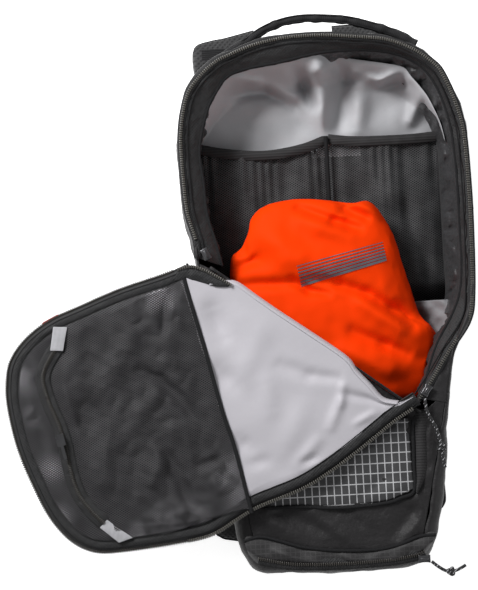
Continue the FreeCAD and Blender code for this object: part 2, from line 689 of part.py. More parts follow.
def main():
    write("body_shell", body_shell())
    write("opening_surround", opening_surround())
    write("lower_front_panel", lower_front_panel())
    write("main_zip_chain", main_zip_chain())
    write("grid_pocket", grid_pocket())
    write("side_zip_cover", side_zip_cover())
    write("base_panel", base_panel())
    write("base_zip_chain", base_zip_chain())
    write("frame_sheet", inside_plate(16, *FRAME_SHEET, -225, 235))
    stays = [soft_block((x - 10, x + 10), STAY_SPAN, STAY_HEIGHTS, 4) for x in (-STAY_X, STAY_X)]
    write("frame_stays", *stays)
    write("back_lining", inside_plate(9, 34.0, 36.0, BULKHEAD_Y + 0.5, 238))
    write("mesh_pocket_left", mesh_pocket(-1))
    write("mesh_pocket_right", mesh_pocket(1))
    write("pocket_hems", pocket_hem(-1), pocket_hem(1))
    write("airbag_bundle", airbag_bundle())
    write("bulkhead", bulkhead())
    write("blower_housing", blower_housing())
    write("blower_motor", blower_motor())
    write("air_duct", air_duct())
    write("impeller", impeller())
    write("supercapacitor_pack", soft_block((-79, -43), ELECTRONICS_SPAN, (ELECTRONICS_LOW, CAPACITOR_TOP), 6))
    write("control_module", control_module())
    write("power_button", power_button())
    write("cable_grommet", cable_grommet())
    write("flap_panel", flap_panel())
    write("flap_edge_band", flap_edge_band())
    write("flap_lining", flap_lining())
    write("flap_zip_chain", flap_zip_chain())
    write("flap_mesh_pocket", flap_mesh_pocket())
    write("flap_pocket_zip", flap_pocket_zip())
    write("flap_edge_tab", flap_edge_tab())
    write("flap_pocket_slider", flap_pocket_slider())
    write("main_slider_right", on_rim(slider_block(*RIGHT_SLIDER, RIGHT_HEADING, SLIDER_LOW)))
    write("main_slider_left", on_rim(slider_block(*LEFT_SLIDER, LEFT_HEADING, SLIDER_LOW)))
    write("base_slider", on_panel(slider_block(*BASE_SLIDER, 0, BASE_ZIP_LOW + CHAIN_HEIGHT + 0.4)))
    right_cord = [world(*p) for p in RIGHT_CORD]
    base_cord = [world(*p, True) for p in BASE_CORD]
    for side, route, knotted in (("right", right_cord, 5), ("base", base_cord, 2)):
        cord = pull_cord(route, "pull_cord_" + side)
        write("pull_cord_" + side, cord)
        write("pull_knot_" + side, pull_knot(route, knotted).cut(cord))
    write("grab_handle", grab_handle())
    write("handle_anchors", *[handle_anchor(x, y) for x, y in HANDLE_ENDS])
    write("spine_pad", soft_block((-22, 22), (-118, 188), (0, SHELL_FLOOR - 0.2), 10))
    write("lumbar_pad", soft_block((-46, 46), (-205, -122), (0, SHELL_FLOOR - 0.2), 14))
    write("base_bumper", soft_block((-80, 80), (-244, -228), (0, SHELL_FLOOR - 0.2), 6))
    write("strap_anchors", strap_anchor("left"), strap_anchor("right"))
    for name in STRAPS:
        write("shoulder_strap_" + name, shoulder_strap(name))
        write("ladder_lock_" + name, ladder_lock(name))
        write("lower_webbing_" + name, lower_webbing(name))
        write("sternum_strap_" + name, sternum_half(name))
    write("trigger_handle", trigger_handle())
    write("hip_wing_left", hip_wing("left"))
    write("hip_wing_right", hip_wing("right"))
    write("hip_buckle_tongue", hip_buckle("left"))
    write("hip_buckle_socket", hip_buckle("right"))


main()
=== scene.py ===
# %% [markdown]
# # An avalanche airbag backpack, sewn piece by piece
# The pack lies on its back with its front flap folded open. The engineering model fixes where
# everything is and how it moves, so this lesson only makes looks: fabric, mesh, coil zips,
# webbing and moulded buckles. First the fixed frame is loaded.

# %% Load the frame
import bpy
import bmesh
import math
from mathutils import Matrix, Vector, noise
from mathutils.bvhtree import BVHTree


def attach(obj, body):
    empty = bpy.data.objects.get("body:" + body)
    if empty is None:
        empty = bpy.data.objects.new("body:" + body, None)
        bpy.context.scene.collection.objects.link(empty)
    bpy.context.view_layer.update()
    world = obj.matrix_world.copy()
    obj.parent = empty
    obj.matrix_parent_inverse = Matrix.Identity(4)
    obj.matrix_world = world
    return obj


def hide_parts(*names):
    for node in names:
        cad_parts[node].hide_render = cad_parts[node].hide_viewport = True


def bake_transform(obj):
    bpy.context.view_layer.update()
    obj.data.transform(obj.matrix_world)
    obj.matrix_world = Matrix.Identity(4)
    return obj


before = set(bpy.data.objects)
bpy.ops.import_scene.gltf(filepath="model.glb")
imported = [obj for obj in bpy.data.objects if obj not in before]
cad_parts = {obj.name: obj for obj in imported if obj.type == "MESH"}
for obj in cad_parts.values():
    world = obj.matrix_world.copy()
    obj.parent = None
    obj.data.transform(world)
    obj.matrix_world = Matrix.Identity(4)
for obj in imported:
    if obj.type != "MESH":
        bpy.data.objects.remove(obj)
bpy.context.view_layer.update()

# %% [markdown]
# ## Camera, light and floor
# A flat lay is seen straight from above. A long lens keeps the tall side walls from leaning
# outwards. One big soft lamp above and to the left gives the folds their shade, and a bright
# world fills the rest. The floor is pale and can't be seen from below, so that the harness can.

# %% Camera
MM = 0.001
VIEW_CENTRE = Vector((-84.7, 16.9, 120.0)) * MM
VIEW_HEIGHT = 548.7 * MM
VIEW_DISTANCE = 2.2
VIEW_ROLL = math.radians(-3.2)


def add_camera():
    data = bpy.data.cameras.new("camera")
    data.sensor_fit = "VERTICAL"
    data.sensor_height = 24.0
    data.lens = 24.0 * VIEW_DISTANCE / VIEW_HEIGHT
    camera = bpy.data.objects.new("camera", data)
    camera.location = VIEW_CENTRE + Vector((0, 0, VIEW_DISTANCE))
    camera.rotation_euler = (0, 0, VIEW_ROLL)
    bpy.context.scene.collection.objects.link(camera)
    bpy.context.scene.camera = camera


add_camera()

# %% Studio light


def add_area(name, place, target, size, power):
    data = bpy.data.lights.new(name, "AREA")
    data.size = size
    data.energy = power
    lamp = bpy.data.objects.new(name, data)
    lamp.location = place
    lamp.rotation_euler = (Vector(target) - Vector(place)).to_track_quat("-Z", "Y").to_euler()
    bpy.context.scene.collection.objects.link(lamp)


def add_world(strength):
    world = bpy.data.worlds.new("studio")
    world.use_nodes = True
    world.node_tree.nodes["Background"].inputs["Color"].default_value = (1, 1, 1, 1)
    world.node_tree.nodes["Background"].inputs["Strength"].default_value = strength
    bpy.context.scene.world = world


add_area("key", (-1.0, 1.1, 1.15), (-0.05, 0, 0.1), 0.6, 38)
add_area("fill", (1.4, -0.7, 0.9), (0, 0, 0.1), 1.0, 6)
add_world(0.30)
bpy.context.scene.view_settings.view_transform = "Standard"

# %% [markdown]
# ## Materials
# Every cloth is one Principled shader. Its yarns are two crossed wave textures that drive the
# bump, and a slow noise changes the colour and the roughness a little, as wear and handling do.
# On the knitted mesh, that noise's colour is a painted glint.
# Sewn pieces carry a UV map measured in millimetres, so a weave follows the cloth. Pieces kept
# from the engineering model have no UV map, so their pattern reads object coordinates.

# %% Node helpers


class Nodes:
    """Builds one material's nodes, keeping the calls short."""

    def __init__(self, name):
        self.material = bpy.data.materials.new(name)
        self.material.use_nodes = True
        self.tree = self.material.node_tree
        self.shader = self.tree.nodes["Principled BSDF"]

    def add(self, kind, settings=(), inputs=()):
        node = self.tree.nodes.new(kind)
        for key, value in dict(settings).items():
            setattr(node, key, value)
        for key, value in dict(inputs).items():
            if isinstance(value, bpy.types.NodeSocket):
                self.tree.links.new(value, node.inputs[key])
            else:
                node.inputs[key].default_value = value
        return node

    def set(self, name, value):
        if isinstance(value, bpy.types.NodeSocket):
            self.tree.links.new(value, self.shader.inputs[name])
        else:
            self.shader.inputs[name].default_value = value

    def math(self, operation, a, b=0.0, clamp=False):
        return self.add("ShaderNodeMath", {"operation": operation, "use_clamp": clamp},
                        {0: a, 1: b}).outputs[0]

    def coords(self, on_cad, turn=0.0):
        """Position in millimetres: the sewn piece's own map, or the object's."""
        source = self.add("ShaderNodeTexCoord").outputs["Object" if on_cad else "UV"]
        scale = 1000.0
        return self.add("ShaderNodeMapping", {}, {"Vector": source, "Scale": (scale, scale, scale),
                                                  "Rotation": (0, 0, turn)}).outputs[0]

    def wave(self, where, pitch, direction, profile="SIN"):
        return self.add("ShaderNodeTexWave",
                        {"wave_type": "BANDS", "bands_direction": direction, "wave_profile": profile},
                        {"Vector": where, "Scale": 0.314 / pitch}).outputs["Fac"]

    def noise(self, where, size, detail=3.0):
        return self.add("ShaderNodeTexNoise", {}, {"Vector": where, "Scale": 1.0 / size,
                                                   "Detail": detail}).outputs["Fac"]

    def mix(self, amount, low, high):
        node = self.add("ShaderNodeMix", {"data_type": "RGBA"})
        for socket, value in ((node.inputs[0], amount), (node.inputs[6], low), (node.inputs[7], high)):
            if isinstance(value, bpy.types.NodeSocket):
                self.tree.links.new(value, socket)
            else:
                socket.default_value = value if socket.type == "VALUE" else (*value[:3], 1)
        return node.outputs[2]

    def bump(self, height, distance, strength=1.0, below=None):
        inputs = {"Height": height, "Distance": distance * MM, "Strength": strength}
        if below is not None:
            inputs["Normal"] = below
        return self.add("ShaderNodeBump", {}, inputs).outputs[0]


def shade(colour, factor):
    return tuple(min(1.0, c * factor) for c in colour)


print("node helpers ready")

# %% [markdown]
# The shell is a fine plain-weave nylon. Fabric on this pack is never one even black: seams and
# raised folds catch light, and dust and rubbing pale the outside a little.

# %% Woven cloth


def woven(name, colour, pitch=0.5, rough=0.7, relief=0.12, wear=1.25, sheen=0.05, crinkle=0.5,
          specular=0.22, on_cad=False, turn=0.0):
    """A plain weave: two crossed sets of yarn, mottled by handling and finely crinkled."""
    n = Nodes(name)
    where = n.coords(on_cad, turn)
    yarns = n.math("ADD", n.wave(where, pitch, "X"), n.wave(where, pitch, "Y"))
    handled = n.noise(where, 24.0)
    slub = n.noise(where, 2.2, 2.0)
    tone = n.math("ADD", n.math("MULTIPLY", handled, 0.5), n.math("MULTIPLY", slub, 0.5))
    n.set("Base Color", n.mix(tone, shade(colour, 2 - wear), shade(colour, wear)))
    n.set("Roughness", n.add("ShaderNodeMapRange", {}, {0: handled, 3: rough - 0.08, 4: rough
                                                        + 0.1}).outputs[0])
    folds = n.bump(n.noise(where, 7.0, 4.0), crinkle * 2.0, 0.7)
    n.set("Normal", n.bump(yarns, relief * 0.5, 0.6, below=folds))
    n.set("Sheen Weight", sheen)
    n.set("Specular IOR Level", specular)
    return n.material


def ribbed(name, colour, pitch=1.6, rough=0.75, direction="X", turn=0.0, on_cad=False):
    """Webbing and grosgrain: one strong rib crossed by a fine one."""
    n = Nodes(name)
    where = n.coords(on_cad, turn)
    rib = n.wave(where, pitch, direction)
    fine = n.wave(where, pitch / 3, "Y" if direction == "X" else "X")
    height = n.math("ADD", rib, n.math("MULTIPLY", fine, 0.3))
    blotches = n.noise(where, 9.0)
    n.set("Base Color", n.mix(n.math("MULTIPLY", n.math("ADD", rib, blotches), 0.5),
                              shade(colour, 0.6), shade(colour, 1.5)))
    n.set("Roughness", n.add("ShaderNodeMapRange", {}, {0: blotches, 3: rough - 0.1, 4: rough + 0.1}).outputs[0])
    n.set("Normal", n.bump(height, 0.25, 0.8))
    n.set("Specular IOR Level", 0.2)
    return n.material


def netted(name, colour, pitch=(3.3, 2.2), openness=0.30, on_cad=False):
    """Knitted mesh: rows of small staggered holes that really let light through."""
    n = Nodes(name)
    where = n.coords(on_cad)
    squeezed = n.add("ShaderNodeMapping", {}, {"Vector": where,
                                               "Scale": (1.0, pitch[0] / pitch[1], 1.0)}).outputs[0]
    slant = n.add("ShaderNodeMapping", {}, {"Vector": squeezed, "Rotation": (0, 0,
                                                                             math.radians(45))}).outputs[0]
    one = n.wave(slant, pitch[0] * 0.707, "X")
    two = n.wave(slant, pitch[0] * 0.707, "Y")
    lattice = n.math("MULTIPLY", one, two)
    hole = n.math("GREATER_THAN", lattice, openness)
    blotches = n.noise(where, 14.0)
    knots = n.math("SUBTRACT", 1.0, lattice)
    # The slow blotches brighten the threads in patches as painted glints. The threads darken towards each
    # hole as painted shade at the hole edges.
    n.set("Base Color", n.mix(n.math("MULTIPLY", blotches, knots), shade(colour, 0.45), shade(colour, 2.3)))
    n.set("Alpha", n.math("SUBTRACT", 1.0, hole))
    n.set("Normal", n.bump(knots, 0.3, 0.7))
    n.set("Roughness", n.add("ShaderNodeMapRange", {}, {0: blotches, 3: 0.5, 4: 0.7}).outputs[0])
    n.set("Specular IOR Level", 0.25)
    return n.material


def spacer(name, colour, on_cad=False):
    """The air mesh over foam pads: round dimples in offset rows."""
    n = Nodes(name)
    where = n.coords(on_cad)
    slant = n.add("ShaderNodeMapping", {}, {"Vector": where, "Rotation": (0, 0, math.radians(45))}).outputs[0]
    dimples = n.math("MULTIPLY", n.wave(slant, 3.4, "X"), n.wave(slant, 3.4, "Y"))
    blotches = n.noise(where, 20.0)
    # The dimples are painted darker: painted shade in the hollows.
    n.set("Base Color", n.mix(dimples, shade(colour, 1.3), shade(colour, 0.35)))
    n.set("Roughness", n.add("ShaderNodeMapRange", {}, {0: blotches, 3: 0.7, 4: 0.9}).outputs[0])
    n.set("Normal", n.bump(n.math("SUBTRACT", 1.0, dimples), 0.8, 0.8))
    n.set("Sheen Weight", 0.3)
    return n.material


def moulded(name, colour, rough=0.45, grain=0.35, metal=0.0, on_cad=True):
    """Moulded plastic, or metal: a fine spark-eroded grain and smears of handling."""
    n = Nodes(name)
    where = n.coords(on_cad)
    smear = n.noise(where, 11.0)
    texture = n.noise(where, grain, 2.0)
    n.set("Base Color", n.mix(smear, shade(colour, 0.85), shade(colour, 1.2)))
    n.set("Roughness", n.add("ShaderNodeMapRange", {}, {0: smear, 3: rough - 0.1, 4: rough
                                                        + 0.12}).outputs[0])
    n.set("Normal", n.bump(texture, 0.06, 0.5))
    n.set("Metallic", metal)
    return n.material


SHELL = woven("shell_nylon", (0.021, 0.020, 0.021), pitch=0.6, rough=0.48, wear=1.5, crinkle=0.8)
PANEL = woven("panel_nylon", (0.020, 0.019, 0.020), pitch=0.6, rough=0.46, wear=1.5, crinkle=0.8)
TAPE = woven("facing_twill", (0.021, 0.021, 0.022), pitch=2.0, relief=0.5, turn=0.785, rough=0.65, wear=1.7,
             crinkle=1.4, specular=0.3)
# The side lining is painted near-black: painted shade inside the walls.
SIDE_LINING_IN_SHADE = woven("side_lining", (0.026, 0.026, 0.028), pitch=0.5, rough=0.55, wear=1.7, crinkle=1.2)
# The crinkled lining at the right is grey lining in shade, painted near-black: painted shade.
CRINKLED_LINING_IN_SHADE = woven("crinkled_lining_in_shade", (0.034, 0.034, 0.036), pitch=0.5, rough=0.3, wear=1.9, crinkle=2.0,
                 specular=0.45)
SHADED_LINING = woven("shaded_grey_lining", (0.20, 0.20, 0.21), pitch=0.4, rough=0.45, relief=0.05, wear=1.15,
                      crinkle=0.4)
LINING = woven("grey_lining", (0.44, 0.44, 0.46), pitch=0.4, rough=0.42, relief=0.05, wear=1.06, crinkle=0.15)
FLAP_LINING = woven("pale_flap_lining", (0.50, 0.485, 0.52), pitch=0.4, rough=0.45, relief=0.05, wear=1.04,
                    crinkle=0.12, specular=0.2)
# A near-black sheet set just behind each mesh pocket: painted shade inside the pockets, where there is only
# the lining.
POCKET_SHADE_SHEET = woven("pocket_net_shade_sheet", (0.006, 0.006, 0.007), pitch=0.5, rough=0.9, specular=0.1)
ORANGE = woven("airbag_nylon", (0.93, 0.046, 0.001), pitch=0.45, rough=0.65, relief=0.05, wear=1.05,
               sheen=0.0, crinkle=0.2, specular=0.04)
ORANGE_TAPE = ribbed("orange_webbing", (0.45, 0.035, 0.02), pitch=1.4)
WEBBING = ribbed("black_webbing", (0.018, 0.018, 0.019), pitch=1.8)
RIB = ribbed("ribbed_tape", (0.030, 0.029, 0.030), pitch=2.6, direction="Y")
BINDING = ribbed("edge_binding", (0.012, 0.012, 0.013), pitch=1.2)
GREY_TAPE = ribbed("grey_tab_webbing", (0.42, 0.42, 0.44), pitch=1.2)
MESH = netted("pocket_mesh", (0.046, 0.046, 0.048))
FLAP_MESH = netted("flap_mesh", (0.036, 0.035, 0.037))
PAD = spacer("pad_air_mesh", (0.022, 0.022, 0.023))
DIVIDER = woven("divider_cloth", (0.05, 0.05, 0.052), pitch=0.8)
# One coil nylon in two copies. The lighter copy is painted highlight for teeth that face the lamp. The darker
# copy is painted shade for teeth seen side-on or under cloth.
ZIP_TEETH_LIT = moulded("zip_teeth_painted_highlight", (0.095, 0.09, 0.08), rough=0.28, on_cad=True)
ZIP_TEETH_SHADED = moulded("zip_teeth_painted_shade", (0.04, 0.036, 0.032), rough=0.3, on_cad=True)
PLASTIC = moulded("buckle_acetal", (0.018, 0.018, 0.019), rough=0.42)
print("fabrics and plastics made")

# %% [markdown]
# Three finishes need their own recipe. The front pocket is a ripstop cloth with a white
# reinforcing grid, and the pull cord is a black braid with pale flecks. Under the flap's net a
# dark sheet paints the lining's shade, with painted glints as pale patches. The print on the
# stowed airbag is plain reflective film, made as the plastics are.

# %% Ripstop grid, cord braid, painted shade and glints under the net, and film


def ripstop(name, ground, line, pitch, width):
    n = Nodes(name)
    where = n.coords(False)
    split = n.add("ShaderNodeSeparateXYZ", {}, {0: where})
    masks = []
    for axis, step in zip((0, 1), pitch):
        phase = n.math("FRACT", n.math("DIVIDE", split.outputs[axis], step))
        masks.append(n.math("LESS_THAN", phase, width / step))
    mask = n.math("MAXIMUM", *masks)
    weave = n.math("MULTIPLY", n.wave(where, 0.7, "X"), n.wave(where, 0.7, "Y"))
    blotches = n.noise(where, 12.0)
    cloth = n.mix(weave, shade(ground, 0.6), shade(ground, 1.5))
    yarn = n.mix(blotches, shade(line, 0.55), line)
    n.set("Base Color", n.mix(mask, cloth, yarn))
    n.set("Roughness", n.add("ShaderNodeMapRange", {}, {0: blotches, 3: 0.5, 4: 0.7}).outputs[0])
    n.set("Normal", n.bump(n.math("ADD", weave, mask), 0.15, 0.6))
    return n.material


def braided(name, dark, fleck, pitch=2.4):
    n = Nodes(name)
    where = n.coords(True)
    one = n.wave(n.add("ShaderNodeMapping", {}, {"Vector": where, "Rotation": (0.6, 0.5, 0.7)}).outputs[0],
                 pitch, "X")
    two = n.wave(n.add("ShaderNodeMapping", {}, {"Vector": where, "Rotation": (-0.6, 0.4, -0.7)}).outputs[0],
                 pitch, "Y")
    strands = n.math("MULTIPLY", one, two)
    spots = n.math("GREATER_THAN", strands, 0.72)
    n.set("Base Color", n.mix(spots, n.mix(n.noise(where, 5.0), shade(dark, 0.7), shade(dark, 1.5)), fleck))
    n.set("Roughness", n.add("ShaderNodeMapRange", {}, {0: strands, 3: 0.75, 4: 0.5}).outputs[0])
    n.set("Normal", n.bump(strands, 0.35, 0.8))
    return n.material


def shaded_backing(name, dark, pale):
    """A dark sheet under the flap's mesh: painted shade for the lining in the net's shadow, with painted
    glints as pale patches.
    """
    n = Nodes(name)
    where = n.coords(False)
    near = n.add("ShaderNodeAttribute", {"attribute_name": "painted_glint"}).outputs["Fac"]
    patchy = n.noise(where, 26.0, 3.0)
    amount = n.math("MULTIPLY", near, n.add("ShaderNodeMapRange", {}, {0: patchy, 1: 0.36,
                                                                       2: 0.5}).outputs[0], clamp=True)
    weave = n.math("ADD", n.wave(where, 0.5, "X"), n.wave(where, 0.5, "Y"))
    n.set("Base Color", n.mix(amount, n.mix(patchy, shade(dark, 0.5), shade(dark, 1.6)), pale))
    n.set("Roughness", n.add("ShaderNodeMapRange", {}, {0: patchy, 3: 0.8, 4: 0.95}).outputs[0])
    n.set("Normal", n.bump(weave, 0.05, 0.5))
    n.set("Specular IOR Level", 0.1)
    return n.material


# The sheet's dark colour is painted shade, and its pale colour is a painted glint.
FLAP_SHADE_AND_GLINTS = shaded_backing("shaded_flap_lining", (0.013, 0.012, 0.016), (0.85, 0.83, 0.88))
GRID = ripstop("ripstop_grid", (0.055, 0.055, 0.058), (0.62, 0.62, 0.64), (6.9, 9.2), 1.0)
BASE = ripstop("base_ripstop", (0.020, 0.019, 0.020), (0.040, 0.038, 0.040), (4.6, 4.6), 0.9)
CORD = braided("flecked_braid", (0.012, 0.012, 0.013), (0.45, 0.45, 0.47))
FILM = moulded("reflective_film", (0.16, 0.17, 0.20), rough=0.35, metal=0.5, on_cad=False)
print("special finishes made")

# %% [markdown]
# ## Shapes in the frame
# The opening, the lower front and the open flap are three nearly flat planes. Each gets a small
# function for its height, so that a line drawn in plan can be laid on any of them. Depths make
# things look nearer to the middle of the view, so `seen` spreads deeper points out again.

# %% Planes of the pack
RIM_HEIGHT = 128.0
RIM_SLOPE = math.radians(5.7)
FOLD_LEFT, FOLD_RIGHT = Vector((-107.0, 41.6)), Vector((78.0, -102.0))
FOLD_LIFT = 10.0
PANEL_DROP = math.radians(6.0)
FOLD_DIR = (FOLD_RIGHT - FOLD_LEFT).normalized()
BELOW = Vector((FOLD_DIR.y, -FOLD_DIR.x))


def fold_distance(x, y):
    return (Vector((x, y)) - FOLD_LEFT).dot(BELOW)


def rim_z(x, y):
    return RIM_HEIGHT - y * math.tan(RIM_SLOPE)


def panel_z(x, y):
    return rim_z(x, y) - max(0.0, fold_distance(x, y)) * math.tan(PANEL_DROP)


def flap_z(x, y):
    return rim_z(x, y) + FOLD_LIFT - fold_distance(x, y) * math.tan(PANEL_DROP)


def seen(x, y, z):
    spread = 1 + (VIEW_CENTRE.z / MM - z) / (VIEW_DISTANCE / MM)
    return Vector((VIEW_CENTRE.x / MM + (x - VIEW_CENTRE.x / MM) * spread,
                   VIEW_CENTRE.y / MM + (y - VIEW_CENTRE.y / MM) * spread, z))


def on_rim(x, y, h):
    """The opening plane's own coordinates, as the engineering model has them."""
    c, s = math.cos(RIM_SLOPE), math.sin(RIM_SLOPE)
    return Vector((x, y * c + h * s, -y * s + h * c + RIM_HEIGHT))


def on_panel(x, y, h):
    away = fold_distance(x, y)
    turned = away * math.cos(PANEL_DROP) + h * math.sin(PANEL_DROP)
    spot = Vector((x, y)) + BELOW * (turned - away)
    return on_rim(spot.x, spot.y, -away * math.sin(PANEL_DROP) + h * math.cos(PANEL_DROP))


print("fold line", FOLD_LEFT, FOLD_RIGHT)

# %% [markdown]
# The pack's outline is a squared-off ellipse, squarer at the base. The sewing lines were drawn
# through a few points each, and `smooth_line` spaces them evenly along a curve.

# %% Lines


def smooth_line(points, count, closed=False):
    """Even points on a smooth curve through the given ones."""
    pts = [Vector(p) for p in points]
    n = len(pts)
    dense = []
    for i in range(n if closed else n - 1):
        p1, p2 = pts[i], pts[(i + 1) % n]
        p0 = pts[i - 1] if closed or i else p1 * 2 - p2
        p3 = pts[(i + 2) % n] if closed or i < n - 2 else p2 * 2 - p1
        for k in range(12):
            t = k / 12
            dense.append((p1 * 2 + (p2 - p0) * t + (p0 * 2 - p1 * 5 + p2 * 4 - p3) * t ** 2
                          + (p1 * 3 - p0 - p2 * 3 + p3) * t ** 3) * 0.5)
    dense.append(pts[0] if closed else pts[-1])
    reach = [0.0]
    for a, b in zip(dense, dense[1:]):
        reach.append(reach[-1] + (b - a).length)
    line, k = [], 0
    for i in range(count + (0 if closed else 1)):
        want = reach[-1] * i / count
        while k < len(reach) - 2 and reach[k + 1] < want:
            k += 1
        t = (want - reach[k]) / max(1e-9, reach[k + 1] - reach[k])
        line.append(dense[k].lerp(dense[k + 1], t))
    return line


def at(line, t):
    """A point part of the way along a line, 0 to 1."""
    where = min(max(t, 0.0), 1.0) * (len(line) - 1)
    i = min(int(where), len(line) - 2)
    return line[i].lerp(line[i + 1], where - i)


def parallel(line, distance):
    """The same plan line moved to its right."""
    moved = []
    for i, p in enumerate(line):
        along = (line[min(i + 1, len(line) - 1)] - line[max(i - 1, 0)]).normalized()
        moved.append(p + Vector((along.y, -along.x)) * distance)
    return moved


def smoothstep(low, high, value):
    t = min(1.0, max(0.0, (value - low) / (high - low)))
    return t * t * (3 - 2 * t)


PACK_LINE = smooth_line([(107, -85), (110, -68), (114, -50), (121, -31), (129, -12), (135, 8), (138, 40),
                         (138, 65), (138, 112), (136, 158), (130, 187), (119, 214), (109, 227), (95, 239),
                         (77, 247), (61, 252), (36, 255), (7, 258), (-22, 258), (-41, 257), (-61, 252),
                         (-81, 245), (-97, 239), (-112, 227), (-125, 211), (-131, 191), (-134, 173),
                         (-135, 154), (-134, 117), (-132, 94), (-127, 70), (-124, 53), (-121, 20),
                         (-116, -20), (-110, -60), (-106, -110), (-103, -160), (-101, -195), (-97, -215),
                         (-94, -225), (-86, -238), (-75, -244), (-38, -247), (18, -249), (55, -247),
                         (76, -242), (86, -227), (91, -209), (97, -183), (102, -143), (104, -110)], 300,
                        closed=True)
PACK_LINE.append(PACK_LINE[0])


def inset_line(inset):
    """The pack's outline moved inwards, all the way round."""
    moved = []
    for i, p in enumerate(PACK_LINE):
        along = (PACK_LINE[(i + 1) % 300] - PACK_LINE[(i - 1) % 300]).normalized()
        moved.append(p - Vector((along.y, -along.x)) * inset)
    return moved


LEFT_HINGE = min(range(300), key=lambda i: (PACK_LINE[i] - Vector((-124, 50))).length)


ZIP_LINE = smooth_line([(-121, 53), (-122, 70), (-128, 94), (-130, 117), (-131, 154), (-130, 173),
                        (-127, 190), (-121, 208), (-109, 223), (-94, 235), (-80, 241), (-60, 248),
                        (-41, 252), (-22, 254), (7, 254), (36, 251), (60, 248), (76, 243), (92, 235),
                        (106, 224), (115, 213), (126, 185), (132, 158), (134, 112), (134, 65), (132, 9),
                        (127, -18), (108, -45), (90, -72), (78, -88)], 240)
FLAP_LINE = smooth_line([(-134, 47), (-153, 40), (-196, 28), (-234, 14), (-262, 3), (-285, -13), (-300, -32),
                         (-305, -52), (-305, -76), (-298, -114), (-285, -151), (-271, -181), (-253, -203),
                         (-232, -214), (-207, -215), (-154, -210), (-122, -204), (-98, -191), (-79, -181),
                         (-36, -166), (-5, -149), (27, -127), (53, -108), (78, -93)], 240)
FOLD_EDGE = smooth_line([(-132, 49), (-112, 33), (-95, 26), (-87, 24), (-64, 8), (-50, -6), (-12, -31),
                         (8, -50), (22, -64), (38, -82), (52, -91), (78, -95)], 240)
print("zip line points", len(ZIP_LINE), "flap line points", len(FLAP_LINE))

# %% [markdown]
# Every cloth starts as a bmesh grid. Its corners run 0 to 1 along both sides, and a `place`
# function lays each corner in space and in the cloth's own flat map, both in millimetres. The
# map is what lets a weave follow a fold.

# %% Sheets, bands and tubes


def laid_grid(columns, rows, place, closed=False):
    mesh = bmesh.new()
    bmesh.ops.create_grid(mesh, x_segments=columns, y_segments=rows, size=0.5)
    uv = mesh.loops.layers.uv.new("UVMap")
    spots = {vert: place(vert.co.x + 0.5, vert.co.y + 0.5) for vert in mesh.verts}
    for face in mesh.faces:
        for loop in face.loops:
            loop[uv].uv = Vector(spots[loop.vert][1]) * MM
    for vert, spot in spots.items():
        vert.co = spot[0] * MM
    if closed:
        bmesh.ops.remove_doubles(mesh, verts=mesh.verts, dist=0.02 * MM)
        bmesh.ops.recalc_face_normals(mesh, faces=mesh.faces)
    return mesh


def make(name, mesh, material, body, nodes=(), thick=0.0, smooth=True, subdivide=0, bevel=0.0):
    """Turns a bmesh into a finished piece that rides on a body."""
    data = bpy.data.meshes.new(name)
    mesh.to_mesh(data)
    mesh.free()
    data.polygons.foreach_set("use_smooth", [smooth] * len(data.polygons))
    data.materials.append(material)
    piece = bpy.data.objects.new(name, data)
    bpy.context.scene.collection.objects.link(piece)
    if thick:
        wall = piece.modifiers.new("thickness", "SOLIDIFY")
        wall.thickness = thick * MM
        wall.offset = -1
    if bevel:
        edge = piece.modifiers.new("edges", "BEVEL")
        edge.width = bevel * MM
        edge.segments = 2
    if subdivide:
        finer = piece.modifiers.new("smooth", "SUBSURF")
        finer.levels = finer.render_levels = subdivide
    if body:
        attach(piece, body)
    if nodes:
        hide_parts(*nodes)
    return piece


def between(line_a, line_b, columns, rows, height):
    """A cloth from one plan line to another. height(x, y, u, v) gives its z."""

    def place(u, v):
        p = at(line_a, u).lerp(at(line_b, u), v)
        return seen(p.x, p.y, height(p.x, p.y, u, v)), (p.x, p.y)
    mesh = laid_grid(columns, rows, place)
    mesh.normal_update()
    if sum(f.normal.z * f.calc_area() for f in mesh.faces) < 0:
        bmesh.ops.reverse_faces(mesh, faces=mesh.faces)
    return mesh


def tube(path, radius, sides=10, flat=1.0, up=(0, 0, 1), closed=False):
    """A round or flattened tube along a path of millimetre points."""
    count = len(path)
    reach = [0.0]
    for a, b in zip(path, path[1:]):
        reach.append(reach[-1] + (b - a).length)

    def place(u, v):
        where = u * (count if closed else count - 1)
        i = int(where) % count if closed else min(int(where), count - 2)
        j = (i + 1) % count
        spot = path[i].lerp(path[j], where - int(where) if closed else where - i)
        along = (path[j] - path[i]).normalized()
        side = along.cross(Vector(up)).normalized()
        rise = side.cross(along)
        r = radius(u) if callable(radius) else radius
        a = 2 * math.pi * v
        return spot + side * (r * math.cos(a)) + rise * (r * flat * math.sin(a)), (u * reach[-1],
                                                                                   v * 6.28 * r)
    return laid_grid((count if closed else count - 1) * 2, sides, place, closed=True)


def wrinkle(x, y, size, depth, seed=0.0):
    return noise.noise(Vector((x / size, y / size, seed))) * depth


def creases(x, y, folds):
    """Soft ridges and valleys: each is two ends, a width and a height."""
    total = 0.0
    p = Vector((x, y))
    for (ax, ay, bx, by, width, depth) in folds:
        a, b = Vector((ax, ay)), Vector((bx, by))
        span = b - a
        t = min(1.0, max(0.0, (p - a).dot(span) / span.length_squared))
        gap = (p - a - span * t).length / width
        if gap < 3:
            total += depth * math.exp(-gap * gap) * (0.35 + 0.65 * math.sin(math.pi * (0.15 + 0.7 * t)))
    return total


print("shape helpers ready")

# %% [markdown]
# ## The shell
# The side wall is one long cloth round the pack. It stands up from the back panel, bulges a
# little at half height, and rolls over the rim. Slack nylon between two seams always shows long
# shallow dents and a few sharper creases, so both are added in the cloth's own `place`.

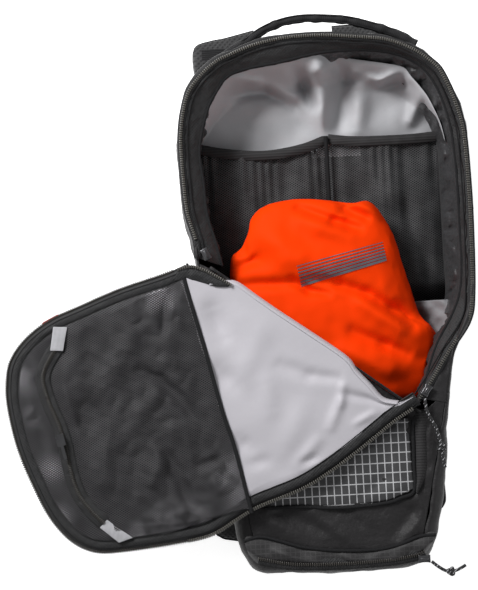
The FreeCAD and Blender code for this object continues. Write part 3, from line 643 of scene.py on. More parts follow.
# %% Side wall
FLOOR_Z = 18.0
SIDE = [(0, 13), (8, 5), (27, 1), (72, 0), (150, 1)]


def side_inset(rise):
    for (z0, a), (z1, b) in zip(SIDE, SIDE[1:]):
        if rise <= z1:
            return a + (b - a) * (rise - z0) / (z1 - z0)
    return SIDE[-1][1]


def top_z(x, y):
    return rim_z(x, y) if fold_distance(x, y) < 0 else panel_z(x, y)


def roll_size(y):
    """The rim is tight where the zip runs, and full at the base."""
    return 3.0 + 11.0 * smoothstep(-70, -190, -abs(y)) * (1 if y < 0 else 0)


EDGES = [inset_line(k) for k in range(-3, 19)]


def pack_point(u, inset):
    k = min(max(inset + 3, 0.0), 20.99)
    return at(EDGES[int(k)], u).lerp(at(EDGES[int(k) + 1], u), k - int(k))


def side_wall(u, v):
    edge = at(PACK_LINE, u)
    roll = roll_size(edge.y)
    top = top_z(edge.x, edge.y) + 2
    rise = (top - roll - FLOOR_Z) * min(v / 0.82, 1.0)
    inset = side_inset(rise)
    if v > 0.82:
        turn = (v - 0.82) / 0.18 * math.pi / 2
        inset += roll * (1 - math.cos(turn))
        rise += roll * math.sin(turn)
    along = u * 1320
    loose = math.sin(math.pi * v) ** 0.6 if edge.y > -60 else 1.0
    dent = (wrinkle(along, rise * 1.6, 46, 3.2) + wrinkle(along + rise * 0.7, rise * 0.5, 13, 1.3, 4.0)
            + abs(wrinkle(along * 0.5, rise * 2.2, 17, 3.0, 8.0))) * loose
    p = pack_point(u, inset + dent * 0.9)
    here = seen(p.x, p.y, top)
    return Vector((here.x, here.y, FLOOR_Z + rise)), (along, rise)


wall = laid_grid(288, 30, side_wall, closed=True)
make("side_wall", wall, SHELL, "pack", ["body_shell"], thick=1.2)


def ring_line(inset, z):
    line = []
    for i in range(300):
        p = pack_point(i / 300, inset)
        here = seen(p.x, p.y, 120)
        line.append(Vector((here.x, here.y, z)))
    return line


def back_cloth(u, v):
    p = pack_point(u, 12.5) * v
    return Vector((p.x, p.y, FLOOR_Z + 0.6 + wrinkle(p.x, p.y, 40, 0.8))), (p.x, p.y)


make("back_cloth", laid_grid(150, 24, back_cloth, closed=True), PAD, "pack", thick=1.0)
for label, inset, z in (("back_seam_piping", 8.5, 22.0), ("wall_seam_piping", 0.4, 62.0)):
    piping = tube(ring_line(inset, z), 1.5, 8, closed=True)
    make(label, piping, BINDING, "pack")
print("shell made")

# %% [markdown]
# Round the opening the shell becomes a narrow band, widest over the right shoulder. Inside the
# zip a wide twill facing slopes down into the pack, hiding the raw edge of the side wall.

# %% Band outside the zip, and facing inside it


def nearest_edge(line, inset):
    edge = inset_line(inset)
    found = [min(edge, key=lambda q: (q - p).length) for p in line]
    return smooth_line(found[::8] + [found[-1]], len(line) - 1)


RIM_OUT = nearest_edge(parallel(ZIP_LINE, -1.0), 3.6)
BAND_FOLDS = [(118, 30, 104, -40, 9, 3.0), (128, -10, 112, -70, 7, 2.4), (100, -60, 118, -84, 6, -2.2),
              (110, -30, 122, -52, 5, -1.8)]


def band_height(x, y, u, v):
    slack = math.sin(math.pi * v) * smoothstep(0.7, 0.9, u)
    return rim_z(x, y) + 2.2 + math.sin(math.pi * v) * 1.0 + slack * (wrinkle(x, y, 22, 2.5)
                                                                     + creases(x, y, BAND_FOLDS))


make("rim_band", between(parallel(ZIP_LINE, -1.0), RIM_OUT, 240, 12, band_height), SHELL, "pack",
     thick=1.2)

FACING_IN = smooth_line([(-99, 45), (-104, 69), (-110, 93), (-112, 125), (-114, 154), (-105, 189), (-94, 209),
                         (-83, 221), (-64, 227), (-35, 231), (6, 238), (46, 238), (76, 232), (96, 220),
                         (108, 204), (117, 180), (122, 152), (124, 112), (124, 65), (124, 37), (121, 9),
                         (112, -13), (97, -38), (86, -67), (78, -92)], 240)


def facing_height(x, y, u, v):
    fall = -9.0 * v ** 1.7
    slack = math.sin(math.pi * v) * (1 + 1.3 * smoothstep(0.55, 0.7, u) * (1 - smoothstep(0.82, 0.9, u)))
    return rim_z(x, y) + 2.4 + fall + slack * (wrinkle(x, y, 17, 1.8, 3.0) + wrinkle(x, y, 6, 0.8, 7.0))


make("facing", between(parallel(ZIP_LINE, 1.0), FACING_IN, 240, 14, facing_height), TAPE, "pack",
     ["opening_surround"], thick=1.0)


def lip(line, h, width=1.4):
    """A rolled edge or piping laid along a plan line."""
    path = [seen(p.x, p.y, rim_z(p.x, p.y) + h) for p in line[::2]]
    return tube(path, width, 8, flat=0.8)


make("facing_edge", lip(FACING_IN, -6.6), BINDING, "pack")
make("zip_stitch_rib", lip(parallel(ZIP_LINE, 6.0), 2.3, 0.7), BINDING, "pack")


def inner_wall(u, v):
    p = at(FACING_IN, u)
    z = (rim_z(p.x, p.y) - 7) * (1 - v) + 37 * v
    slack = math.sin(math.pi * v) ** 0.7
    fold = (abs(wrinkle(u * 900, z * 0.5, 15, 7.0)) + wrinkle(u * 900, z, 6, 1.6, 3.0)) * slack
    inward = Vector((p.x, p.y - min(max(p.y, -60), 170))).normalized()
    here = seen(p.x, p.y, rim_z(p.x, p.y))
    q = Vector((here.x, here.y)) - inward * (fold - 4 * v)
    return Vector((q.x, q.y, z)), (u * 900, z)


# The inner wall's near-black colour is painted shade.
make("inner_wall", laid_grid(360, 24, inner_wall), SIDE_LINING_IN_SHADE, "pack", thick=0.8)
CRINKLE_OUT = smooth_line([(-4, 236), (20, 237), (46, 237), (76, 231), (96, 219), (108, 203), (117, 180),
                           (122, 152), (124, 112), (124, 65), (124, 37), (121, 9), (112, -12)], 120)
CRINKLE_IN = smooth_line([(-4, 222), (20, 220), (46, 216), (70, 210), (84, 196), (94, 178), (103, 158),
                          (107, 140), (107, 112), (107, 65), (107, 37), (107, 9), (102, -10)], 120)


def crinkled_height(x, y, u, v):
    slack = math.sin(math.pi * v) ** 0.5
    crumple = (abs(wrinkle(x, y, 17, 17.0, 2.0)) + wrinkle(x, y, 7, 3.5, 4.0) + wrinkle(x, y, 3.5, 1.2,
                                                                                        4.0)) * slack
    return rim_z(x, y) - 9 - 44 * v ** 0.8 + crumple


# Near-black colour here is painted shade.
make("crinkled_side_lining", between(CRINKLE_OUT, CRINKLE_IN, 240, 40, crinkled_height), CRINKLED_LINING_IN_SHADE, "pack",
     thick=0.6)
print("opening edges made")

# %% [markdown]
# A coil zip is a strip of cloth tape with a nylon coil sewn along its edge. At this scale each
# turn reads as a tiny rounded tooth, so one bevelled block is copied along the line, a few dozen
# faces each.

# %% Zip chains


def coil(line, height, pitch=2.1, size=(3.0, 1.3, 1.9)):
    """Teeth set across a plan line."""
    length = sum((b - a).length for a, b in zip(line, line[1:]))
    count = int(length / pitch)
    mesh = bmesh.new()
    for i in range(count + 1):
        t = i / count
        p, q = at(line, t - 0.002), at(line, t + 0.002)
        along = (q - p).normalized()
        mid = at(line, t)
        z = height(mid.x, mid.y)
        made = bmesh.ops.create_cube(mesh, size=1.0)["verts"]
        place = (Matrix.Translation(seen(mid.x, mid.y, z) * MM)
                 @ Matrix.Rotation(math.atan2(along.y, along.x) - math.pi / 2, 4, "Z")
                 @ Matrix.Diagonal((*(s * MM for s in size), 1)))
        bmesh.ops.transform(mesh, matrix=place, verts=made)
    bmesh.ops.bevel(mesh, geom=mesh.edges[:], offset=0.32 * MM, segments=1, profile=0.5, affect="EDGES",
                    material=-1)
    return mesh


def zip_tape(line, width, height):
    return between(parallel(line, -width / 2), parallel(line, width / 2), len(line) - 1, 3,
                   lambda x, y, u, v: height(x, y))


def chain_height(x, y):
    return rim_z(x, y) + 4.2


# Main zip teeth use the lighter copy: painted highlight.
make("main_zip_teeth", coil(ZIP_LINE[6:], chain_height), ZIP_TEETH_LIT, "pack", ["main_zip_chain"])
make("main_zip_tape", zip_tape(ZIP_LINE, 6.5, lambda x, y: rim_z(x, y) + 3.0), TAPE, "pack",
     thick=0.6)
print("main zip made")

# %% [markdown]
# ## Inside the pack
# The grey lining falls steeply from the top of the rim, then lies loosely over the back. It is
# one cloth with a stiff ridge under the middle seam, and folds that run down from the corners.

# %% Grey lining
LINING_TOP = smooth_line([(-118, 150), (-108, 189), (-96, 211), (-83, 223), (-64, 229), (-35, 232), (6, 238),
                          (26, 232), (46, 228), (66, 224), (80, 220), (86, 212), (93, 203), (100, 193),
                          (106, 180), (111, 166), (114, 150)], 120)
LINING_LOW = smooth_line([(-116, 140), (-60, 140), (4, 140), (60, 140), (119, 140)], 120)
LINING_FOLDS = [(6, 236, 0, 216, 11, 7.0), (0, 216, 3, 162, 12, 9.0), (-26, 232, -14, 208, 6, -6.0),
                (-14, 208, -7, 190, 6, -6.0), (-82, 221, -56, 213, 5, 5.0), (-56, 213, -26, 199, 6, 6.0),
                (-86, 203, -52, 206, 6, -6.0), (-52, 206, -24, 190, 6, -4.0), (22, 228, 25, 212, 7, -7.0),
                (25, 212, 42, 213, 5, -5.0), (33, 217, 58, 208, 5, 5.0), (58, 208, 77, 219, 5, 6.0),
                (60, 204, 84, 206, 5, -5.0), (84, 208, 92, 211, 4, 5.0), (20, 205, 12, 170, 8, -5.0),
                (96, 196, 84, 170, 6, 4.0), (40, 200, 34, 165, 9, 4.0)]


def lining_height(x, y, u, v):
    top = rim_z(x, y) - 9 - 16 * smoothstep(0.5, 0.56, u)
    fall = smoothstep(0.0, 0.34, v)
    base = 46 + 8 * math.sin(math.pi * u)
    sag = 1.9 * creases(x, y, LINING_FOLDS) + wrinkle(x, y, 30, 4.0, 1.5) + wrinkle(x, y, 12, 0.8, 5.5)
    return top + (base - top) * fall + sag * smoothstep(0.0, 0.2, v)


make("grey_lining", between(LINING_TOP, LINING_LOW, 150, 60, lining_height), LINING, "pack",
     thick=0.6, subdivide=1)


def back_lining_place(u, v):
    """The lining is cut narrower where the pack's waist comes in."""
    y = -104 + 250 * v
    x = (2 * u - 1) * min(108, 84 + 24 * (y + 104) / 84)
    return (Vector((x, y, 37.5 + wrinkle(x, y, 35, 2.5) + wrinkle(x, y, 12, 0.8, 4.0))), (x, y))


make("back_lining_cloth", laid_grid(60, 60, back_lining_place), LINING, "pack",
     ["back_lining"], thick=0.6)
WEDGE_OUT = smooth_line([(116, 2), (112, -12), (107, -24), (100, -38), (92, -50)], 40)
WEDGE_IN = smooth_line([(76, 2), (78, -12), (80, -26), (82, -40), (84, -56)], 40)
make("lower_side_lining", between(WEDGE_OUT, WEDGE_IN, 40, 24, lambda x, y, u, v: 93 - 26 * v
                                  + 5 * math.sin(u * 5 + v * 3) + wrinkle(x, y, 9, 3.0)), SHADED_LINING,
     "pack", thick=0.6)
print("lining made")

# %% [markdown]
# Two mesh pockets stand in front of the lining. Elastic gathers each mouth, so the net is full
# of soft vertical ripples that fade towards the bottom.

# %% Mesh pockets
HEM_LEFT = smooth_line([(-114, 158), (-86, 152), (-53, 149), (-20, 153), (5, 161)], 80)
HEM_RIGHT = smooth_line([(6, 161), (27, 158), (52, 157), (85, 157), (115, 159)], 80)
POCKET_FOLDS = [(-80, 140, -60, 60, 10, 4.0), (-30, 140, -40, 80, 9, -3.0), (-100, 120, -90, 40, 9, 3.5),
                (30, 140, 40, 60, 8, -3.0), (60, 150, 70, 40, 9, 4.0), (95, 140, 84, 20, 9, 4.0),
                (75, 90, 100, 10, 7, -3.5), (50, 110, 62, 40, 6, 3.0), (104, 110, 96, -20, 6, 3.5)]


def pocket_height(x, y, u, v):
    near_mouth = math.exp(-v * 4.0)
    ripple = math.sin(x * 0.62 + 2.4 * math.sin(x * 0.11)) * (0.9 + wrinkle(x, 0, 20, 1.2, 8.0)) * near_mouth
    edge = math.sin(math.pi * min(max(u, 0.0), 1.0)) ** 0.5
    fall = 22 * smoothstep(0.82, 1.0, v)
    return 63 - 7 * (1 - edge) - fall + ripple + (creases(x, y, POCKET_FOLDS) + wrinkle(x, y, 30, 4.0,
                                                                                        2.0)) * edge


def pocket_pieces(side, hem, bottom, node):
    low = smooth_line(bottom, len(hem) - 1)
    make(f"pocket_net_{side}", between(hem, low, 110, 60, pocket_height), MESH, "pack", [node])
    # A near-black sheet 7 mm behind the net: painted shade inside the pocket.
    make(f"pocket_net_{side}_back", between(hem, low, 40, 20, lambda x, y, u, v: pocket_height(x, y, u,
                                                                                               v) - 7),
         POCKET_SHADE_SHEET, "pack", thick=0.5)
    top = parallel(hem, -1.0)
    under = parallel(hem, 9.0)
    make(f"pocket_hem_{side}", between(top, under, 110, 8, lambda x, y, u,
                                       v: 66.0 - 7 * (1 - math.sin(math.pi * min(u, 1.0)) ** 0.5)
                                       + 1.8 * math.sin(math.pi * v) + wrinkle(x, y, 9, 0.6)), RIB, "pack",
         ["pocket_hems"] if side == "left" else [], thick=1.2, subdivide=1)


pocket_pieces("left", HEM_LEFT, [(-112, -8), (-60, -10), (3, -10)], "mesh_pocket_left")
pocket_pieces("right", HEM_RIGHT, [(3, -10), (60, -10), (112, -8)], "mesh_pocket_right")
SEAM_RUN = [Vector((4, y, 0)) for y in (160, 140, 120, 100, 80)]
make("divider_seam", tube([seen(p.x, p.y, 65.0) for p in smooth_line(SEAM_RUN, 30)], 2.0, 8, flat=0.7),
     BINDING, "pack")
print("pockets made")

# %% [markdown]
# The stowed airbag is slippery nylon, rolled and folded into a soft bundle. A closed loft gives
# its outline, then a short cloth simulation with a little air inside rounds it, and the creases
# are pressed in afterwards, because the remesh would lose them.

# %% Airbag bundle
AIRBAG = [(-92, 44), (-84, 57), (-68, 88), (-47, 99), (-20, 102), (3, 101), (24, 98), (41, 97), (51, 86),
          (64, 62), (72, 35), (79, 10), (84, -9), (93, -25), (96, -38), (88, -60), (80, -84), (56, -92),
          (0, -98), (-50, -84), (-88, -30)]
AIRBAG_FOLDS = [(-24, 95, 8, 81, 5, -3.6), (8, 81, 30, 73, 5, -4.2), (-20, 82, 20, 66, 9, 2.5),
                (16, 96, 37, 83, 5, -3.4), (30, 97, 50, 86, 6, 3.0), (-34, 28, -19, 17, 4, -3.2),
                (-19, 17, -2, 14, 4, -3.0), (-18, 27, 9, 22, 5, -2.6), (9, 22, 34, 12, 5, -3.0),
                (34, 12, 60, -6, 6, -3.8), (60, -6, 76, -19, 6, -3.8), (30, 2, 64, -22, 8, 2.6),
                (-88, 41, -66, 49, 5, -2.6), (-80, 26, -36, 25, 5, -2.8), (20, -23, 48, -37, 6, -3.0),
                (48, -37, 68, -47, 6, -3.0), (10, -40, 50, -62, 9, 2.6), (60, -66, 80, -84, 8, -1.2),
                (-60, 74, -30, 52, 12, 2.6), (-40, 44, 20, 44, 14, 2.0)]


def swell(piece, air, cap):
    """Blow a closed soft piece up a little, and keep it near its own shape."""
    remesh = piece.modifiers.new("remesh", "REMESH")
    remesh.mode = "VOXEL"
    remesh.voxel_size = 4.5 * MM
    apply_modifiers(piece)
    start = [v.co.copy() for v in piece.data.vertices]
    cloth = piece.modifiers.new("cloth", "CLOTH")
    cloth.settings.use_pressure = True
    cloth.settings.uniform_pressure_force = air
    cloth.settings.effector_weights.gravity = 0
    for moment in range(1, 21):
        bpy.context.scene.frame_set(moment)
    apply_modifiers(piece)
    for vert, first in zip(piece.data.vertices, start):
        move = vert.co - first
        if move.length > cap * MM:
            vert.co = first + move.normalized() * (cap * MM)
    bpy.context.scene.frame_set(1)


def apply_modifiers(piece):
    bpy.context.view_layer.update()
    graph = bpy.context.evaluated_depsgraph_get()
    fresh = bpy.data.meshes.new_from_object(piece.evaluated_get(graph))
    piece.modifiers.clear()
    piece.data = fresh


def airbag_place(u, v):
    line = AIRBAG_LINE
    p = at(line, u)
    middle = Vector((3, 4))
    angle = math.pi * (v - 0.5)
    out = max(0.0, math.cos(angle)) ** 0.55
    z = 88 + 22 * math.sin(angle)
    q = middle + (p - middle) * 0.97 * out
    return seen(q.x, q.y, z), (q.x, q.y)


AIRBAG_LINE = smooth_line(AIRBAG, 96, closed=True)
AIRBAG_LINE.append(AIRBAG_LINE[0])
airbag_data = bpy.data.meshes.new("airbag_bundle_cloth")
airbag_mesh = laid_grid(96, 30, airbag_place, closed=True)
airbag_mesh.to_mesh(airbag_data)
airbag_mesh.free()
airbag = bpy.data.objects.new("airbag_bundle_cloth", airbag_data)
bpy.context.scene.collection.objects.link(airbag)
swell(airbag, 4.0, 6.0)
# The bundle fills its own outline again after the air has rounded it.
outline = [seen(p.x, p.y, 88) * MM for p in AIRBAG_LINE]
for axis in (0, 1):
    want = [f(p[axis] for p in outline) for f in (min, max)]
    have = [f(v.co[axis] for v in airbag.data.vertices) for f in (min, max)]
    stretch = (want[1] - want[0] + 2 * MM) / (have[1] - have[0])
    for vert in airbag.data.vertices:
        vert.co[axis] = (vert.co[axis] - sum(have) / 2) * stretch + sum(want) / 2
dense = airbag.modifiers.new("dense", "SUBSURF")
dense.levels = dense.render_levels = 1
apply_modifiers(airbag)
for vert in airbag.data.vertices:
    x, y, z = vert.co / MM
    if z > 84:
        lift = (2.3 * creases(x, y, AIRBAG_FOLDS) + wrinkle(x, y, 34, 2.6, 1.0) + wrinkle(x, y, 13, 0.9, 6.0))
        vert.co.z += lift * smoothstep(84, 100, z) * MM
airbag.data.materials.clear()
airbag.data.materials.append(ORANGE)
airbag.data.polygons.foreach_set("use_smooth", [True] * len(airbag.data.polygons))
finer = airbag.modifiers.new("smooth", "SUBSURF")
finer.levels = finer.render_levels = 1
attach(airbag, "pack")
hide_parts("airbag_bundle")


def mark(name, corners, bars, thick):
    """Bars of reflective film, all parallel, ironed onto the cloth."""
    a, b, c, d = [Vector(p) for p in corners]
    mesh = bmesh.new()
    cloth = BVHTree.FromPolygons([v.co for v in airbag.data.vertices],
                                 [p.vertices for p in airbag.data.polygons])

    def height(x, y):
        hit = cloth.ray_cast(Vector((x, y, 300)) * MM, Vector((0, 0, -1)))[0]
        return hit.z / MM if hit else 100.0
    for k in range(bars):
        low, high = (k + 0.5 - thick(k) / 2) / bars, (k + 0.5 + thick(k) / 2) / bars
        made = bmesh.ops.create_grid(mesh, x_segments=36, y_segments=2, size=0.5)["verts"]
        for vert in made:
            u, v = vert.co.x + 0.5, low + (high - low) * (vert.co.y + 0.5)
            p = a.lerp(b, u).lerp(d.lerp(c, u), v)
            vert.co = Vector((p.x, p.y, height(p.x, p.y) + 0.6)) * MM
    uv = mesh.loops.layers.uv.new("UVMap")
    for face in mesh.faces:
        for loop in face.loops:
            loop[uv].uv = loop.vert.co.xy
    make(name, mesh, FILM, "pack")


mark("reflective_bars", [(-30, 42), (52, 60), (55, 41), (-26, 21)], 7, lambda k: 0.25 + 0.09 * k)
print("airbag top", max(v.co.z for v in airbag.data.vertices) / MM)

# %% [markdown]
# ## Lower front
# Under the open flap the front carries a ripstop pocket, a covered side zip and the base panel.
# The cloth sinks a little towards the base, and its panels are slack where nothing fills them.

# %% Front and base panels
FRONT_TOP = [FOLD_LEFT.lerp(FOLD_RIGHT, t / 120) + BELOW * 1.0 for t in range(121)]
FRONT_TOP[0] = FRONT_TOP[0] - FOLD_DIR * 4
BASE_EDGE = [pack_point(i / 300, roll_size(PACK_LINE[i].y) + 0.6) for i in range(LEFT_HINGE, 301)]
FRONT_LOW = smooth_line(BASE_EDGE[::5] + [BASE_EDGE[-1]], 120)
FRONT_FOLDS = [(80, -164, 100, -148, 4, 3.0), (70, -178, 77, -192, 4, 3.0), (60, -177, 76, -170, 3, -2.5),
               (-74, -189, -40, -216, 5, 4.0), (-79, -186, -64, -183, 4, 3.0), (-27, -191, 12, -223, 5, 3.6),
               (3, -185, 14, -202, 5, -3.0), (56, -221, 78, -196, 5, 4.0), (46, -214, 66, -192, 5, -3.0),
               (-58, -186, -20, -206, 6, -3.5), (86, -120, 94, -180, 7, 2.5), (98, -110, 92, -150, 6, -2.0)]


def front_height(x, y, u, v):
    slack = math.sin(math.pi * min(max(v, 0.0), 1.0)) ** 0.5
    return panel_z(x, y) + 2.0 + slack * (1.4 * creases(x, y, FRONT_FOLDS) + wrinkle(x, y, 24, 1.8, 2.0)
                                          + abs(wrinkle(x, y * 1.8, 17, 3.0, 6.0)) + wrinkle(x, y, 7, 0.6))


make("lower_front_cloth", between(FRONT_TOP, FRONT_LOW, 120, 48, front_height), PANEL, "pack",
     ["lower_front_panel"], thick=1.0, subdivide=1)
BASE_TOP = smooth_line([(-93, -212), (-88, -207), (-62, -213), (-37, -221), (0, -226), (38, -226), (64, -219),
                        (81, -212), (86, -216)], 80)
BASE_LOW = smooth_line([(-89, -226), (-82, -237), (-70, -241.5), (-38, -244), (18, -246), (54, -244),
                        (72, -239), (81, -226)], 80)


def base_height(x, y, u, v):
    crown = math.sin(math.pi * v) ** 0.6
    low = -8.0 * smoothstep(0.55, 1.0, v)
    folds = [(-65, -223, -19, -240, 4, 2.6), (0, -230, 12, -237, 4, 2.4), (34, -228, 58, -222, 4, 2.4),
             (-40, -238, 30, -240, 4, -2.4)]
    return panel_z(x, y) + 2.6 + low + crown * (3.2 + wrinkle(x, y, 16, 2.2, 3.0) + creases(x, y, folds))


make("base_cloth", between(BASE_TOP, BASE_LOW, 110, 20, base_height), BASE, "pack",
     ["base_panel"], thick=1.0, subdivide=1)


def panel_lip(points, h, radius=1.3, count=60):
    path = [seen(p.x, p.y, panel_z(p.x, p.y) + h) for p in smooth_line(points, count)]
    return tube(path, radius, 8, flat=0.8)


make("base_seam_binding", panel_lip(BASE_TOP[::8], 4.4, 1.6), BINDING, "pack")
print("front panels made")

# %% Ripstop pocket, zip cover and base zip
GRID_TOP = smooth_line([(-72, -40), (-20, -76), (30, -106), (66, -106)], 60)
GRID_LOW = smooth_line([(-72, -182), (-39, -182), (-2, -185), (40, -182), (54, -178), (68, -172)], 60)


def grid_height(x, y, u, v):
    edge = min(1.0, 9 * min(u, 1 - u)) * min(1.0, 9 * min(v, 1 - v))
    return panel_z(x, y) + 3.0 + 3.2 * edge + edge * (wrinkle(x, y, 26, 2.4, 8.0)
                                                      + creases(x, y, [(-10, -150, 60, -120, 8, 2.4),
                                                                       (10, -184, 40, -160, 6, -2.0)]))


make("ripstop_pocket", between(GRID_TOP, GRID_LOW, 90, 50, grid_height), GRID, "pack",
     ["grid_pocket"], thick=0.8)
make("ripstop_pocket_binding", panel_lip([(-72, -183), (-39, -183), (-2, -186), (40, -184), (55, -180),
                                          (68, -174), (69, -150), (70, -108)], 4.0, 1.7), BINDING, "pack")
COVER_IN = smooth_line([(72, -100), (71, -120), (70, -150), (69, -175)], 30)
COVER_OUT = smooth_line([(84, -101), (83, -125), (82, -144), (79, -161), (71, -177)], 30)


def cover_height(x, y, u, v):
    return panel_z(x, y) + 3.0 + 3.4 * math.sin(math.pi * v) + wrinkle(x, y, 14, 0.8)


make("side_zip_cover_tape", between(COVER_IN, COVER_OUT, 40, 12, cover_height), RIB, "pack",
     ["side_zip_cover"], thick=0.8)
BASE_ZIP = smooth_line([(-80, -229), (-47, -236), (0, -238), (40, -237), (66, -234), (74, -231)], 60)


def base_zip_height(x, y):
    return panel_z(x, y) + 5.4


# Base zip teeth use the darker copy: painted shade.
make("base_zip_teeth", coil(BASE_ZIP, base_zip_height, 2.0, (3.0, 1.2, 1.6)), ZIP_TEETH_SHADED, "pack",
     ["base_zip_chain"])
make("base_zip_tape", zip_tape(BASE_ZIP, 11.0, lambda x, y: panel_z(x, y) + 4.6), TAPE, "pack",
     thick=0.8)
print("front pocket and base zip made")

# %% [markdown]
# ## The flap
# The flap lies open on its outer face. A pale lining faces up, and a big mesh pocket with its own
# zip covers the far half. A stiff twill band runs round the edge, with the other half of the zip
# sewn along it.

# %% Flap cloths
MESH_EDGE = smooth_line([(-135, 36), (-128, 4), (-120, -28), (-106, -91), (-96, -127), (-86, -178),
                         (-84, -186)], 80)
FLAP_FOLDS = [(-49, -50, -24, -61, 6, -3.6), (-24, -61, 2, -65, 5, -3.2), (7, -74, 4, -90, 4, 3.4),
              (4, -88, -6, -110, 5, 3.0), (7, -80, 44, -90, 4, -3.0), (-65, -66, -61, -92, 9, 3.0),
              (-20, -123, -38, -143, 6, 3.0), (18, -108, 34, -100, 4, 2.4), (-34, -142, -24, -138, 4, -2.4),
              (-82, -140, -69, -139, 6, -2.4), (-107, -53, -95, -66, 9, -4.0), (-110, 4, -102, -20, 9, -4.0),
              (-92, -118, -84, -126, 7, -3.0), (-60, -10, -88, -60, 12, 2.2), (-30, -90, -50, -130, 12, 2.4)]
MESH_FOLDS = [(-148, 32, -157, -10, 4, -5.0), (-181, -48, -162, -58, 5, -5.0),
              (-162, -58, -145, -75, 5, -5.0), (-145, -75, -133, -95, 5, -4.5),
              (-164, -118, -153, -142, 6, -5.0), (-153, -142, -138, -179, 6, -5.0),
              (-278, -79, -274, -114, 5, -4.0), (-237, -98, -230, -76, 8, -3.6),
              (-132, -139, -96, -131, 4, -4.0), (-209, -90, -223, -148, 9, 4.0),
              (-252, -67, -238, -147, 6, 3.4), (-190, -20, -215, -60, 12, 3.6),
              (-150, -110, -190, -170, 10, 3.6), (-120, -20, -112, -60, 7, 3.0),
              (-172, -78, -186, -96, 8, 3.4), (-120, -150, -110, -170, 7, 3.2),
              (-262, -110, -250, -170, 5, 3.0)]


def under_mesh(x, y):
    """0 on the open lining, 1 well under the mesh pocket."""
    edge = min(MESH_EDGE, key=lambda p: abs(p.y - y))
    return smoothstep(0.0, 12.0, edge.x - x)


def flap_lining_height(x, y, u, v):
    inside = min(1.0, 8 * (1 - v)) * (1 - under_mesh(x, y))
    return flap_z(x, y) + 4.6 - 2.2 * under_mesh(x, y) + inside * (2.4 + smoothstep(0.0, 0.1, v)
                                          * (creases(x, y, FLAP_FOLDS) + wrinkle(x, y, 40, 2.6, 3.0)))


make("flap_outer_cloth", between(FOLD_EDGE, parallel(FLAP_LINE, -1.5), 200, 50,
                                 lambda x, y, u, v: flap_z(x, y) + 1.6 - 1.5 * math.sin(math.pi * v)
                                 + wrinkle(x, y, 34, 1.6)),
     SHELL, "front_flap", ["flap_panel"], thick=1.2)
LINING_FOLD = smooth_line([(-112, 28), (-100, 28), (-88, 26), (-70, 12), (-52, -2), (-25, -22), (9, -48),
                           (19, -62), (31, -76), (42, -89), (56, -93)], 240)
make("flap_lining_cloth", between(LINING_FOLD, parallel(FLAP_LINE, -8.0), 150, 54, flap_lining_height),
     FLAP_LINING, "front_flap", ["flap_lining"], thick=0.6, subdivide=1)
BAND_IN = parallel(FLAP_LINE, -13.0)
TURNED_FROM = 158  # from this point of the edge on, its teeth show from above


def flap_band_height(x, y, u, v):
    return flap_z(x, y) + 4.4 + 2.8 * math.sin(math.pi * min(1.0, v)) ** 0.6 + wrinkle(x, y, 12, 0.7)


make("flap_band", between(parallel(FLAP_LINE, -1.0), BAND_IN, 240, 8, flap_band_height), TAPE, "front_flap",
     ["flap_edge_band"], thick=0.9, subdivide=1)
# Flap zip teeth use the darker copy: painted shade.
make("flap_zip_teeth", coil(FLAP_LINE[4:-3], lambda x, y: flap_z(x, y) + 4.4, size=(3.4, 1.3, 1.9)),
     ZIP_TEETH_SHADED, "front_flap", ["flap_zip_chain"])
# The turned teeth use the lighter copy: painted highlight.
make("flap_edge_teeth_turned", coil(parallel(FLAP_LINE, 0.4)[TURNED_FROM:-3], lambda x, y: flap_z(x, y)
                                    + 6.4, size=(3.2, 1.3, 1.9)), ZIP_TEETH_LIT, "front_flap")
make("flap_zip_tape", zip_tape(parallel(FLAP_LINE, -1.5), 4.0, lambda x, y: flap_z(x, y) + 4.0), TAPE,
     "front_flap", thick=0.7)
for label, gap in (("flap_stitch_outer", -4.0), ("flap_stitch_inner", -11.5)):
    path = [seen(p.x, p.y, flap_band_height(p.x, p.y, 0, 0.25) + 0.1) for p in parallel(FLAP_LINE, gap)[::2]]
    make(label, tube(path, 0.45, 6), BINDING, "front_flap")
print("flap made")

# %% Flap mesh pocket
FAR_SPLIT = int(len(FLAP_LINE) * 0.655)
FAR_LINE = smooth_line([*[(p.x, p.y) for p in parallel(FLAP_LINE, -11.0)[2:FAR_SPLIT:4]], (-86, -180)], 80)


POCKET_ZIP = smooth_line([(-256, -22), (-262, -30), (-269, -42), (-271, -54), (-266, -75), (-259, -93),
                          (-254, -112), (-250, -138), (-244, -159), (-233, -176), (-222, -188)], 90)
# Spots where the sheet under the flap's net is painted pale: painted glints.
GLINTS = [(-287, -49, 12), (-158, 20, 14), (-266, -134, 11), (-261, -178, 9), (-163, -192, 13),
          (-139, -185, 13), (-102, -143, 13), (-92, -169, 14), (-280, -84, 8), (-132, 34, 9),
          (-190, -198, 8)]


def mesh_height(x, y, u, v):
    """The net is slack, but sewn flat along the pocket's own zip and round its edge."""
    here = Vector((x, y))
    slack = smoothstep(6, 20, min((here - p).length for p in POCKET_ZIP[::4]))
    slack *= min(1.0, 6 * min(v, 1 - v)) * min(1.0, 6 * min(u, 1 - u))
    folds = (1.2 * creases(x, y, MESH_FOLDS) + wrinkle(x, y, 34, 3.2, 5.0) + abs(wrinkle(x, y, 16, 3.2, 5.0))
             + wrinkle(x, y, 8, 0.8, 2.0))
    return flap_z(x, y) + 8.6 + slack * (2.2 + max(-3.4, folds))


make("flap_mesh_cloth", between(MESH_EDGE, FAR_LINE, 130, 90, mesh_height), FLAP_MESH, "front_flap",
     ["flap_mesh_pocket"])
# A sheet 2.6 mm under the net: painted shade, with painted glints at the listed spots.
make("flap_net_shade_sheet", between(MESH_EDGE, FAR_LINE, 130, 90, lambda x, y, u, v: mesh_height(x, y, u,
                                                                                               v) - 2.6),
     FLAP_SHADE_AND_GLINTS, "front_flap", thick=0.5)
backing = bpy.data.objects["flap_net_shade_sheet"]
